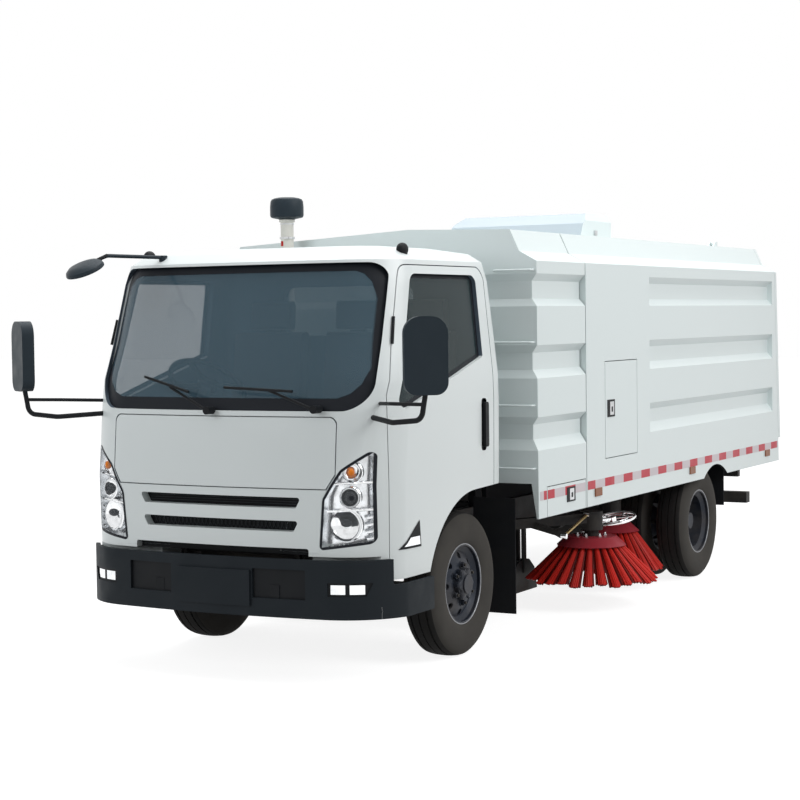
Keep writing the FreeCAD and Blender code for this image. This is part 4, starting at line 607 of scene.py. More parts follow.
def screen_planes(border):
    """Planes that divide the windscreen's clear part from its black border."""
    low, high = (Vector((0.0, row_y(y), z)) for y, z in SCREEN_SIDE)
    lean = high - low
    aside = Vector((0.0, lean.z, -lean.y)).normalized()
    planes = [(Vector((0.0, 0.0, SCREEN_LOW + LOW_BORDER_SHARE * border)), -UP),
              level(SCREEN_TOP - border),
              (low - aside * border * SIDE_BORDER_SHARE, aside)]
    for x, z, radius, up in SCREEN_CORNERS:
        for turn in CORNER_TURNS:
            angle = math.radians(turn)
            for side in (-1.0, 1.0):
                normal = Vector((side * math.cos(angle), 0.0, up * math.sin(angle)))
                planes.append((Vector((side * x, 0.0, z)) + normal * radius, normal))
    return planes


def faces_inwards(face):
    """True for a face of the cab's shell that looks at the inside of the cab."""
    place = face.calc_center_median()
    inside = abs(place.x) < SHELL_HIGH.x - CAB_WALL and place.z > CAB_FLOOR_Z
    return inside and (CAB_MIDDLE - place).normalized().dot(face.normal) > 0.25


def under_cab(face):
    """True for a face of the cab's underside or wheel arch."""
    place = face.calc_center_median()
    in_arch = face.normal.y > 0.5 and place.y < row_y(ARCH_FRONT_Y)
    return place.z < UNDERSIDE_Z and (face.normal.z < -0.3 or in_arch)


def slot_wall(face):
    """True for the wall behind the grille's slots and behind the gap over the bumper, which is painted black
    as shade.
    """
    place = face.calc_center_median()
    on_wall = face.normal.y < -0.99 and abs(place.y - row_y(SLOT_WALL_Y)) < 0.0015
    return on_wall and place.z < SLOT_WALL_TOP and abs(place.x) < SLOT_WALL_HALF


def cab_finish(face):
    if under_cab(face):
        return CAB_UNDERSIDE
    # The slot wall is painted black as shade.
    if slot_wall(face):
        return CAB_BLACK_AND_SHADE
    return CAB_TRIM if faces_inwards(face) else CAB_PAINT


def door_finish(face):
    """The door's paint, its inner trim, and its sunk black handle."""
    place = face.calc_center_median()
    x = abs(place.x)
    handle = between(x, HANDLE_X) and between(place.y - FRONT_AXLE_Y, HANDLE_Y) and between(place.z, HANDLE_Z)
    skin = abs(face.normal.x) >= 0.9 and DOOR_SKIN_X[0] <= x <= DOOR_SKIN_X[1]
    return CAB_BLACK_AND_SHADE if handle and not skin else cab_finish(face)


class SWEEPER_OT_cab(bpy.types.Operator):
    """Dress the cab's shell, doors, lid, grille and windows"""
    bl_idname = "sweeper.cab"
    bl_label = "Cab"

    def execute(self, context):
        sizes = context.scene.cab_sizes
        edge = sizes.edge_radius
        dress("cab_shell", CAB_FINISHES, edge, cab_finish)
        for name in SIDES:
            dress("door_" + name, CAB_FINISHES, edge, door_finish)
        dress("front_lid", ["cab white"], edge)
        # The grille's faces on the slot wall are painted black as shade.
        dress("grille", ["cab white", "black plastic"], edge, slot_wall)
        planes = screen_planes(sizes.border)
        window = outline_planes([(row_y(y), z) for y, z in WINDOW_OUTLINE], (1, 2), WINDOW_BORDER)

        def screen_finish(face):
            place = face.calc_center_median()
            return 1 if place.y < row_y(SCREEN_FRONT_Y) and not within(place, planes) else 0

        def window_finish(face):
            return 0 if within(face.calc_center_median(), window) else 1

        dress("cab_glass", ["window glass", "black gloss"], 0.0, screen_finish, planes=planes)
        for name in SIDES:
            dress("door_glass_" + name, ["door glass", "black gloss"], 0.0, window_finish, planes=window)
        self.grille_mesh()
        for name, side in SIDES.items():
            self.door_trim(name, side)
            self.roof_lamp(name, side)
        return {"FINISHED"}

    def grille_mesh(self):
        """A black block as painted shade, with a diamond mesh and level bars, seen through the grille's
        slots.
        """
        mesh = bmesh.new()
        block(mesh, spot(SHADE_BLOCK[0]), spot(SHADE_BLOCK[1]))
        for i in range(-STRANDS, STRANDS):
            x = i * MESH_PITCH
            for low, high in (MESH_Z, MESH_Z[::-1]):
                bar(mesh, spot((x, MESH_Y, low)), spot((x + MESH_LEAN, MESH_Y, high)), STRAND_RADIUS, 1, 6)
        for z in MESH_BARS_Z:
            start, end = spot((-MESH_BARS_HALF, MESH_Y, z)), spot((MESH_BARS_HALF, MESH_Y, z))
            bar(mesh, start, end, MESH_BAR_RADIUS, 1, 6)
        piece("grille_mesh", mesh, "cab", ["black plastic", "mesh grey"])

    def door_trim(self, name, side):
        """The vent on a door's front pillar, and its side lamp in a dark rim."""
        door = "door_" + name
        mesh = bmesh.new()
        low, high = (spot((side * x, y, z)) for x, y, z in VENT_ENDS)
        bar(mesh, low, high, VENT_RADIUS)
        piece("pillar_vent_" + name, mesh, door, ["black plastic"])
        corners = [(row_y(y), z) for y, z in SIDE_LAMP]
        rim = outline_planes(corners, (1, 2), 0.0)
        patch("side_lamp_rim_" + name, door, rim, 0.003, ["black plastic"], (side, 0, 0))
        clear = outline_planes(corners, (1, 2), SIDE_LAMP_RIM) + [level(SIDE_LAMP_TOP)]
        patch("side_lamp_" + name, door, clear, 0.0045, ["lamp silver"], (side, 0, 0))

    def roof_lamp(self, name, side):
        x, y, z = side * ROOF_LAMP[0], row_y(ROOF_LAMP[1]), ROOF_LAMP[2]
        low, high, radius = ROOF_LAMP_FOOT
        mesh = bmesh.new()
        ball(mesh, (x, y, z), ROOF_LAMP_RADII)
        bar(mesh, (x, y, low), (x, y, high), radius)
        piece("roof_lamp_" + name, mesh, "cab", ["black plastic"])


class SWEEPER_OT_interior(bpy.types.Operator):
    """Dress the dashboard, seats and steering wheel"""
    bl_idname = "sweeper.interior"
    bl_label = "Interior"

    def execute(self, context):
        dress("dashboard", ["dash grey"], 0.01, segments=3)
        dress("seats", ["seat cloth"], 0.02, segments=3)
        dress("steering_wheel", ["black plastic"], 0.002)
        return {"FINISHED"}


# A side mirror's head, its arm's top, its pin, what turns about the pin, and the turn towards the driver in
# degrees
HEAD_X = 1.09
HEAD_Z = 1.43
ARM_TOP = 1.45
MIRROR_PIN = (1.205, -1.1125)
MIRROR_INNER_X = 1.095
MIRROR_LOW_Z = 1.4495
MIRROR_TURN = 35.0

# The front mirror: the disc of the CAD node, and the joint, arm end, middle, facing and back of the new one
OLD_DISC = (-0.6956, -1.2741, 2.0865)
OLD_DISC_REACH = 0.130
DISC_JOINT = (-0.640, -1.120, 2.155)
DISC_JOINT_RADII = (0.0102, 0.0102, 0.0102)
DISC_ARM_END = (-0.676, -1.205, 2.116)
DISC_ARM_RADIUS = 0.010
DISC_MIDDLE = (-0.6956, -1.234, 2.0865)
DISC_FACING = (0.10, 0.42, -0.90)
DISC_BACK = [(-0.030, 0.001), (-0.029, 0.045), (-0.022, 0.080), (-0.008, 0.098), (0.006, 0.103),
             (0.012, 0.102), (0.014, 0.096)]
DISC_GLASS = [(0.014, 0.096), (0.012, 0.050), (0.011, 0.001)]

# Two cells in each lamp of the bumper, and the sunk fields beside the bumper's middle block: the bumper's
# front runs back by BUMPER_SWEEP at BUMPER_SWEEP_X from its middle
CELL_X = ((0.652, 0.722), (0.742, 0.806))
CELL_Z = (0.466, 0.512)
FIELD_X = (0.225, 0.54)
FIELD_Z = (0.43, 0.59)
FIELD_DEPTH = 0.008
BUMPER_FRONT_Y = -1.135
BUMPER_SWEEP = 0.037
BUMPER_SWEEP_X = 0.6

# The left headlamp: its bowls as a middle and a radius, a bowl's section as (offset, share of the radius),
# its dividers as two ends, its bulbs as a middle, radii, a place among the finishes and rings, and the
# stripes at its outer end
HEADLAMP_SIDE_Y = -0.926
HEADLAMP_FACING = (0.30, -0.95, 0.0)
HEADLAMP_BOWLS = (((0.735, -1.000, 1.062), 0.050), ((0.726, -1.008, 0.938), 0.052),
                  ((0.704, -1.012, 0.800), 0.078))
BOWL_SECTION = ((-0.030, 0.25), (-0.026, 0.55), (-0.014, 0.85), (0.0, 1.0), (0.004, 1.0), (0.0, 1.08),
                (-0.030, 1.08))
DIVIDER_RADIUS = 0.007
HEADLAMP_DIVIDERS = (((0.612, -1.042, 1.003), (0.822, -0.946, 1.012)),
                     ((0.612, -1.042, 0.868), (0.822, -0.946, 0.878)))
HEADLAMP_BULBS = (((0.737, -1.012, 1.062), (0.017, 0.017, 0.022), 2, 12),
                  ((0.728, -1.010, 0.938), (0.030, 0.022, 0.030), 1, 16),
                  ((0.706, -1.014, 0.812), (0.032, 0.014, 0.020), 1, 12))
STRIPES = 4
STRIPE_ENDS = ((0.792, -0.962, 0.730), (0.826, -0.940, 0.736))
STRIPE_PITCH = 0.035
STRIPE_RADIUS = 0.008


def mirror_finish(face):
    """Glass on the backs of the side mirrors, black on their arms."""
    place = face.calc_center_median()
    if abs(place.x) > HEAD_X and place.z > HEAD_Z:
        return 1 if face.normal.y > 0.95 else 0
    return 2 if place.z < ARM_TOP else 0


def lamp_finish(planes):
    """Clear cover inside planes, black border round it, silver behind."""
    def finish_of(face):
        if face.normal.y > -0.2:
            return 2
        place = face.calc_center_median()
        return 0 if within(Vector((abs(place.x), place.y, place.z)), planes) else 1
    return finish_of


def bumper_finish(face):
    """Black floors in the two sunk fields on both sides of the middle block."""
    place = face.calc_center_median()
    skin = row_y(BUMPER_FRONT_Y + BUMPER_SWEEP * (place.x / BUMPER_SWEEP_X) ** 2)
    sunk = place.y > skin + FIELD_DEPTH and face.normal.y < -0.9
    return 1 if sunk and between(abs(place.x), FIELD_X) and between(place.z, FIELD_Z) else 0


def low_lamp_finish(face):
    """Tail lamps red; in each front lamp a silver and a chrome cell in a dark frame."""
    silver, red, dark, chrome = range(4)
    place = face.calc_center_median()
    if place.y > 0:
        return red
    if face.normal.y > -0.4 or not between(place.z, CELL_Z):
        return dark
    for cell, number in zip(CELL_X, (silver, chrome)):
        if between(abs(place.x), cell):
            return number
    return dark


class SWEEPER_OT_fittings(bpy.types.Operator):
    """Dress the lamps, mirrors, wipers and bumper"""
    bl_idname = "sweeper.fittings"
    bl_label = "Cab fittings"

    def execute(self, context):
        rim = outline_planes(LAMP_OUTLINE, (0, 2), context.scene.cab_sizes.lamp_border)
        rim.append((Vector((0.0, row_y(HEADLAMP_SIDE_Y), 0.0)), Vector((0.0, 1.0, 0.0))))
        dress("headlamps", ["lamp glass", "black gloss", "lamp silver"], 0.0, lamp_finish(rim),
              planes=rim + mirrored_planes(rim))
        self.mirrors()
        dress("wipers", ["black plastic"], 0.001)
        dress("front_bumper", ["bumper plastic", "black plastic"], 0.006, bumper_finish, segments=3)
        cells = [upright(side * x) for side in (-1.0, 1.0) for cell in CELL_X for x in cell]
        dress("chassis_lamps", ["lamp silver", "tail red", "black plastic", "chrome"], 0.0, low_lamp_finish,
              planes=cells + [level(z) for z in CELL_Z])
        for name, side in SIDES.items():
            mesh = bmesh.new()
            self.headlamp(mesh)
            if side < 0:
                mirror_x(mesh)
            piece("headlamp_inside_" + name, mesh, "cab", ["chrome", "black gloss", "amber", "lamp silver"])
        return {"FINISHED"}

    def mirrors(self):
        """The side mirrors turned towards the driver, and the front one looking down at the bumper."""
        mesh = node_mesh("mirrors")
        disc = [f for f in mesh.faces if (f.calc_center_median() - spot(OLD_DISC)).length < OLD_DISC_REACH]
        bmesh.ops.delete(mesh, geom=disc, context="FACES")
        loose = [v for v in mesh.verts if not v.link_faces]
        bmesh.ops.delete(mesh, geom=loose, context="VERTS")
        for face in mesh.faces:
            face.material_index = mirror_finish(face)
        for side in SIDES.values():
            pin = Vector((side * MIRROR_PIN[0], row_y(MIRROR_PIN[1]), 0.0))
            turn = Matrix.Translation(pin) @ Matrix.Rotation(math.radians(side * MIRROR_TURN), 4, "Z")
            turn = turn @ Matrix.Translation(-pin)
            for vert in mesh.verts:
                if side * vert.co.x > MIRROR_INNER_X and vert.co.z > MIRROR_LOW_Z:
                    vert.co = turn @ vert.co
        bar(mesh, spot(DISC_JOINT), spot(DISC_ARM_END), DISC_ARM_RADIUS, 2)
        ball(mesh, spot(DISC_JOINT), DISC_JOINT_RADII, 2, 8)
        turned(mesh, DISC_BACK, spot(DISC_MIDDLE), DISC_FACING, 48)
        turned(mesh, DISC_GLASS, spot(DISC_MIDDLE), DISC_FACING, 48, 1)
        bmesh.ops.remove_doubles(mesh, verts=mesh.verts, dist=SAME_PLACE)
        bmesh.ops.recalc_face_normals(mesh, faces=mesh.faces)
        dressed("mirrors", mesh, ["slate plastic", "mirror glass", "black plastic"])

    def headlamp(self, mesh):
        """Bowls, dividers, bulbs and stripes of the left headlamp, just behind its clear cover."""
        for middle, radius in HEADLAMP_BOWLS:
            section = [(offset, radius * share) for offset, share in BOWL_SECTION]
            turned(mesh, section, spot(middle), HEADLAMP_FACING, 32)
        for start, end in HEADLAMP_DIVIDERS:
            bar(mesh, spot(start), spot(end), DIVIDER_RADIUS)
        for middle, radii, number, rings in HEADLAMP_BULBS:
            ball(mesh, spot(middle), radii, number, rings)
        for i in range(STRIPES):
            start, end = (spot((x, y, z + STRIPE_PITCH * i)) for x, y, z in STRIPE_ENDS)
            bar(mesh, start, end, STRIPE_RADIUS, 3)


# Body: the floor's height, the intake mast with its rings as low z, high z, radius and place among the
# finishes, and the tape

FLOOR_Z = 0.884
SKIRT_WALL = 0.06
MAST = (-0.490, 0.410)
REFLECTOR_Z = (2.240, 2.270)
REFLECTOR_INSET = 0.004
MAST_TOP = 2.400
DRUM = [(2.394, 0.040), (2.398, 0.052), (2.405, 0.086), (2.409, 0.094), (2.420, 0.098), (2.470, 0.098),
        (2.500, 0.095), (2.512, 0.088), (2.519, 0.072), (2.523, 0.050), (2.523, 0.001)]
MAST_RINGS = ((2.380, 2.394, 0.046, 0), (2.366, 2.374, 0.041, 3), (2.282, 2.294, 0.044, 3))
CLAMP_SCREW = (0.030, 0.046)
CLAMP_SCREW_Z = 2.288
CLAMP_SCREW_RADIUS = 0.007
TAPE_TOP = 0.840
TAPE_START = 0.588
TAPE_THICK = 0.0012
SHORTEST_TAPE = 0.004

# Plates on the body's side as distance behind the front axle, height, half length, half height and depth:
# latches with a dark back, a bright pull and a dark lock, and side markers; and the latch of the roof hood
FLAP_LATCH = ((0.972, 0.790, 0.060, 0.042, 0.004), (0.978, 0.790, 0.030, 0.033, 0.006),
              (0.978, 0.786, 0.010, 0.014, 0.0075))
HATCH_LATCH = ((1.593, 1.254, 0.057, 0.052, 0.004), (1.598, 1.254, 0.030, 0.040, 0.007),
               (1.598, 1.248, 0.010, 0.016, 0.0085))
MARKERS = tuple((y, 0.766, 0.052, 0.024, 0.009) for y in (1.378, 3.030, 4.690))
HOOD_LATCH = ((0.490, 2.700, 2.345), (0.500, 2.745, 2.378))


def body_finish(face):
    """Paint, and black under the floor and inside the wheel arch."""
    place = face.calc_center_median()
    hidden = face.normal.z < -0.2 or abs(place.x) < BODY_HALF - SKIRT_WALL
    return 1 if place.z < FLOOR_Z and hidden else 0


def hood_finish(face):
    """The front slope of the roof hood in a darker copy of the paint, as painted shade."""
    return 1 if face.normal.y < -0.2 else 0


def side_block(mesh, side, depth, y, z, number):
    """A thin block on the skin of one side between the ends of y and z."""
    x0, x1 = sorted((side * BODY_HALF, side * (BODY_HALF + depth)))
    block(mesh, (x0, row_y(y[0]), z[0]), (x1, row_y(y[1]), z[1]), number)


def plates(shapes, side, numbers):
    """A bmesh of plates, each a distance, height, half length, half height and depth."""
    mesh = bmesh.new()
    for (y, z, half_y, half_z, depth), number in zip(shapes, numbers):
        side_block(mesh, side, depth, (y - half_y, y + half_y), (z - half_z, z + half_z), number)
    return mesh


class SWEEPER_OT_body(bpy.types.Operator):
    """Dress the housing, hopper, tailgate, doors and hood"""
    bl_idname = "sweeper.body"
    bl_label = "Body"

    def execute(self, context):
        for node in ("housing", "hopper", "tailgate", "hopper_door_left", "hopper_door_right",
                     "skirt_flap_left", "skirt_flap_right"):
            dress(node, ["body white", "flap rubber"], 0.0, body_finish, angle=12.0)
        # The hood's front slope gets a darker copy of the body paint as painted shade.
        dress("roof_hood", ["body white", "hood painted shade"], 0.0, hood_finish, angle=12.0)
        self.mast()
        for name, side in SIDES.items():
            self.tape(name, side, context.scene.body_sizes)
            self.fasteners(name, side)
        mesh = bmesh.new()
        block(mesh, spot(HOOD_LATCH[0]), spot(HOOD_LATCH[1]))
        piece("hood_latch", mesh, "hopper", ["bright steel"], 0.001)
        return {"FINISHED"}

    def mast(self):
        """The mast with its red reflector, clamp and collar, and a round-shouldered drum on top."""
        white, slate, red, steel = range(4)
        x, y = MAST[0], row_y(MAST[1])
        mesh = node_mesh("intake_mast")
        split(mesh, [level(z) for z in (*REFLECTOR_Z, MAST_TOP)] + [upright(x - REFLECTOR_INSET)])
        drum = [f for f in mesh.faces if f.calc_center_median().z > MAST_TOP]
        bmesh.ops.delete(mesh, geom=drum, context="FACES")
        for face in mesh.faces:
            place = face.calc_center_median()
            reflector = between(place.z, REFLECTOR_Z) and place.x < x - REFLECTOR_INSET
            face.material_index = red if reflector else white
        turned(mesh, DRUM, (x, y, 0.0), UP, 48, slate)
        for low, high, radius, number in MAST_RINGS:
            bar(mesh, (x, y, low), (x, y, high), radius, number, 32)
        start, end = (Vector((x + out, y - out, CLAMP_SCREW_Z)) for out in CLAMP_SCREW)
        bar(mesh, start, end, CLAMP_SCREW_RADIUS, steel, 8)
        dressed("intake_mast", mesh, ["mast white", "slate plastic", "tail red", "bright steel"])

    def tape(self, name, side, sizes):
        """Red and white reflective tape along the skirt, each part on the body that carries it."""
        z = (TAPE_TOP - sizes.tape_height, TAPE_TOP)
        runs = (("chassis", 0.540, 0.630), ("skirt_flap_" + name, 0.645, 1.190), ("hopper", 1.225, 4.965))
        for body, start, end in runs:
            mesh = bmesh.new()
            y, number = TAPE_START - sizes.tape_length, 1
            while y < end:
                a, b = max(y, start), min(y + sizes.tape_length, end)
                if b - a > SHORTEST_TAPE:
                    side_block(mesh, side, TAPE_THICK, (a, b), z, number)
                y += sizes.tape_length
                number = 1 - number
            piece(f"tape_{body}_{name}", mesh, body, ["tape red", "tape white"])

    def fasteners(self, name, side):
        """Latch plates and side marker lamps."""
        for tag, door, shapes in (("flap", "skirt_flap_", FLAP_LATCH),
                                  ("hatch", "hopper_door_", HATCH_LATCH)):
            piece(f"{tag}_latch_{name}", plates(shapes, side, (0, 1, 0)), door + name,
                  ["black plastic", "bright steel"], 0.001)
        piece("marker_lamps_" + name, plates(MARKERS, side, (0, 0, 0)), "hopper", ["marker"],
              0.003)


# Wheels: middles of the tyres across, half a tyre's section as (offset, radius) from its bead to the middle
# of its tread, and the rim's bright edge

FRONT_TYRE_X = 0.755
REAR_TYRES_X = (0.760 - 0.135, 0.760 + 0.135)
TYRE_HALF = [(0.080, 0.2125), (0.0885, 0.224), (0.0935, 0.240), (0.0975, 0.262), (0.0998, 0.290),
             (0.0990, 0.318), (0.0960, 0.340), (0.0905, 0.357), (0.0835, 0.368), (0.0765, 0.3755),
             (0.072, 0.3795), (0.060, 0.3830), (0.052, 0.3842), (0.051, 0.3755), (0.043, 0.3755),
             (0.042, 0.3855), (0.020, 0.3870), (0.0035, 0.3874), (0.0030, 0.3780)]
TREAD_RADIUS = 0.3745
RIM_EDGE = [(0.0825, 0.2105), (0.0845, 0.2125), (0.0845, 0.2165), (0.0815, 0.2185)]

# The nuts' seat out from the tyre's middle and the radius of their circle; a nut's washer, nut and stud as
# length, radius, place among the finishes and sides; the front hub's ring of studs; and the hub's cover
NUT_CIRCLE = {"front": (0.068, 0.102), "rear": (-0.123, 0.108)}
NUTS = 6
NUT = ((0.004, 0.021, 1, 24), (0.022, 0.0155, 1, 6), (0.032, 0.0085, 2, 12))
HUB_RING_RADIUS = 0.068
HUB_STUDS = 8
HUB_RING_STUD = (0.085, 0.096)
HUB_STUD_RADIUS = 0.012
COVER_RADIUS = 0.078
COVER_LOBE = 0.014
COVER_LEVELS = [(0.070, 1.0), (0.092, 1.0), (0.101, 0.94), (0.105, 0.84), (0.107, 0.60), (0.107, 0.02)]


def add_tyre(mesh, x, y):
    """A tyre about the axle line at y, with its tread in the second finish."""
    section = [(-u, r) for u, r in TYRE_HALF] + TYRE_HALF[::-1]
    turned(mesh, section + section[:1], (x, y, AXLE_Z), ACROSS, 72)
    for face in mesh.faces:
        place = face.calc_center_median()
        radius = math.hypot(place.y - y, place.z - AXLE_Z)
        if radius > TREAD_RADIUS and abs(place.x - x) < 0.1:
            face.material_index = 1


class SWEEPER_OT_wheels(bpy.types.Operator):
    """Make the tyres, and dress the rims with hubs and nuts"""
    bl_idname = "sweeper.wheels"
    bl_label = "Wheels"

    def execute(self, context):
        for name, side in SIDES.items():
            mesh = bmesh.new()
            add_tyre(mesh, side * FRONT_TYRE_X, FRONT_AXLE_Y)
            dressed("front_tyre_" + name, mesh, ["side wall", "tyre"])
            mesh = bmesh.new()
            for x in REAR_TYRES_X:
                add_tyre(mesh, side * x, REAR_AXLE_Y)
            dressed("rear_tyres_" + name, mesh, ["side wall", "tyre"])
            dress("front_rim_" + name, ["rim paint"], 0.0015)
            dress("rear_rims_" + name, ["rim paint"], 0.0015)
            self.hub(name, side, "wheel_front_" + name, FRONT_TYRE_X, FRONT_AXLE_Y, "front")
            self.hub(name, side, "wheels_rear_" + name, REAR_TYRES_X[1], REAR_AXLE_Y, "rear")
        return {"FINISHED"}

    def hub(self, name, side, body, x, y, tag):
        """Bright rim edge and wheel nuts; in front also a ring of studs and a cover."""
        mesh = bmesh.new()
        turned(mesh, [(side * u, r) for u, r in RIM_EDGE], (side * x, y, AXLE_Z), ACROSS, 72)
        seat, circle = NUT_CIRCLE[tag]
        for i in range(NUTS):
            angle = math.radians(360.0 / NUTS * (i + 0.5))
            cy, cz = y + circle * math.cos(angle), AXLE_Z + circle * math.sin(angle)
            start = side * (x + seat)
            for length, radius, number, sides in NUT:
                bar(mesh, (start, cy, cz), (start + side * length, cy, cz), radius, number, sides)
        if tag == "front":
            for i in range(HUB_STUDS):
                angle = math.radians(360.0 / HUB_STUDS * i)
                cy, cz = y + HUB_RING_RADIUS * math.cos(angle), AXLE_Z + HUB_RING_RADIUS * math.sin(angle)
                start, end = (Vector((side * (x + out), cy, cz)) for out in HUB_RING_STUD)
                bar(mesh, start, end, HUB_STUD_RADIUS, 1, 12)
            self.hub_cover(mesh, side, x, y, 1)
        piece(f"{tag}_hub_{name}", mesh, body, ["rim edge", "rim paint", "cast black"], 0.0015)

    def hub_cover(self, mesh, side, x, y, number):
        """Six-lobed cover with a domed middle over the front hub."""
        before = set(mesh.faces)
        offset, share = COVER_LEVELS[0]
        middle = Vector((side * (x + offset), y, AXLE_Z))
        place = Matrix.Translation(middle) @ Matrix.Rotation(math.radians(90.0), 4, "Y")
        verts = bmesh.ops.create_circle(mesh, segments=72, radius=COVER_RADIUS, matrix=place)["verts"]
        edges = list({e for v in verts for e in v.link_edges})
        for vert in verts:
            out = vert.co - middle
            lobe = COVER_LOBE * math.cos(6 * math.atan2(out.z, out.y))
            vert.co += out.normalized() * lobe
        for next_offset, next_share in COVER_LEVELS[1:]:
            made = bmesh.ops.extrude_edge_only(mesh, edges=edges)["geom"]
            verts = [item for item in made if isinstance(item, bmesh.types.BMVert)]
            edges = [item for item in made if isinstance(item, bmesh.types.BMEdge)]
            growth = next_share / share
            bmesh.ops.scale(mesh, verts=verts, vec=(1.0, growth, growth), space=Matrix.Translation(-middle))
            bmesh.ops.translate(mesh, verts=verts, vec=(side * (next_offset - offset), 0.0, 0.0))
            offset, share = next_offset, next_share
        bmesh.ops.edgeloop_fill(mesh, edges=edges)
        face_outwards(mesh, before, number)


# Chassis: the height that the rear mud flaps end at

FLAP_END = 0.450


class SWEEPER_OT_chassis(bpy.types.Operator):
    """Dress the frame, axles, springs, drive and tanks"""
    bl_idname = "sweeper.chassis"
    bl_label = "Chassis"

    def execute(self, context):
        for node in ("frame", "suction_nozzle", "hoist_barrel"):
            dress(node, ["chassis black"])
        for node in ("leaf_springs", "front_axle", "rear_axle", "engine", "drive_line", "radiator",
                     "auxiliary_engine", "knuckle_left", "knuckle_right", "tie_rod"):
            dress(node, ["cast black"])
        dress("fuel_tank", ["chassis black"])
        self.mud_flaps()
        dress("hoist_rod", ["bright steel"], 0.001)
        return {"FINISHED"}

    def mud_flaps(self):
        """The flaps, the rear ones ending at FLAP_END."""
        mesh = node_mesh("mud_flaps")
        for vert in mesh.verts:
            if vert.co.y > REAR_AXLE_Y and vert.co.z < FLAP_END:
                vert.co.z = FLAP_END
        dressed("mud_flaps", mesh, ["flap rubber"], 0.001)


# Brushes: middle x, middle behind the front axle, reach of the tips, height of the tips, disc radius

BRUSHES = {"front": (0.780, 1.920, 0.420, 0.150, 0.215), "rear": (0.600, 2.680, 0.355, 0.120, 0.190)}
BUNDLES = 28
BRISTLE_RADIUS = 0.0042
BRISTLE_TIP_RADIUS = 0.0066

# A bundle: how far in from the disc's edge and the reach it starts and ends, its arch, the depth of its
# second row, its spread at root and tip, and how its tips are trimmed
ROOT_INSET = 0.026
TIP_INSET = 0.004
ARCH = 0.022
ROW_DEPTH = 0.012
ROOT_SPREAD = 0.013
TIP_SPREAD = 0.031
SHORTER_STEP = 0.007
RAGGED = 0.008
ROUNDED = 0.010
SWAY = 0.001

# Heights of a bundle's root over the disc's underside and of its tips over the lowest one, how much of the
# arch and the trim shows in them, and where the bundle's edges darkened as painted shade start
ROOT_RISE = 0.004
TIP_RISE = 0.012
ROOT_ARCH = 0.4
TIP_ARCH = 0.3
TRIM_RISE = 0.6
SHADED_EDGE_SHARE = 0.8

# The disc with its bolts' circle and height, and the foot of the brush motor
DISC_SIDES = 14
DISC_Z = 0.380
DISC_TOP = DISC_Z + 0.055
DISC_FLARE = 0.005
DISC_TAPER = 0.055
BOLT_CIRCLE = 0.085
BOLT_HEADS = ((0.010, 0.011, 6), (0.020, 0.006, 10))
MOTOR_FOOT_Z = 0.473
MOTOR_FOOT_SUNK = 0.015
MOTOR_FOOT_RADIUS = 0.045

# The guard ring's middle and its reach outwards and upwards, the strut's half width, ends and top, and the
# radius of the brush motor on the arm
GUARD = (0.860, 2.074, 0.527)
GUARD_REACH = 0.165
GUARD_DEPTH = 0.050
STRUT_HALF = 0.022
STRUT_Y = (1.470, 1.870)
STRUT_BRASS_Y = (1.508, 1.832)
STRUT_TOP = 0.592
MOTOR_RADIUS = 0.0735


def arm_finish(face):
    """Black arm, polished guard ring and brass strut with bright ends."""
    black, bright, brass = range(3)
    place = face.calc_center_median()
    x, y = abs(place.x), place.y - FRONT_AXLE_Y
    brush_x, brush_y = BRUSHES["front"][:2]
    if math.hypot(x - brush_x, y - brush_y) <= MOTOR_RADIUS:
        return black
    if math.hypot(x - GUARD[0], y - GUARD[1]) < GUARD_REACH and abs(place.z - GUARD[2]) < GUARD_DEPTH:
        return bright
    if abs(x - brush_x) < STRUT_HALF and between(y, STRUT_Y) and place.z < STRUT_TOP:
        return brass if STRUT_BRASS_Y[0] <= y <= STRUT_BRASS_Y[1] else bright
    return black


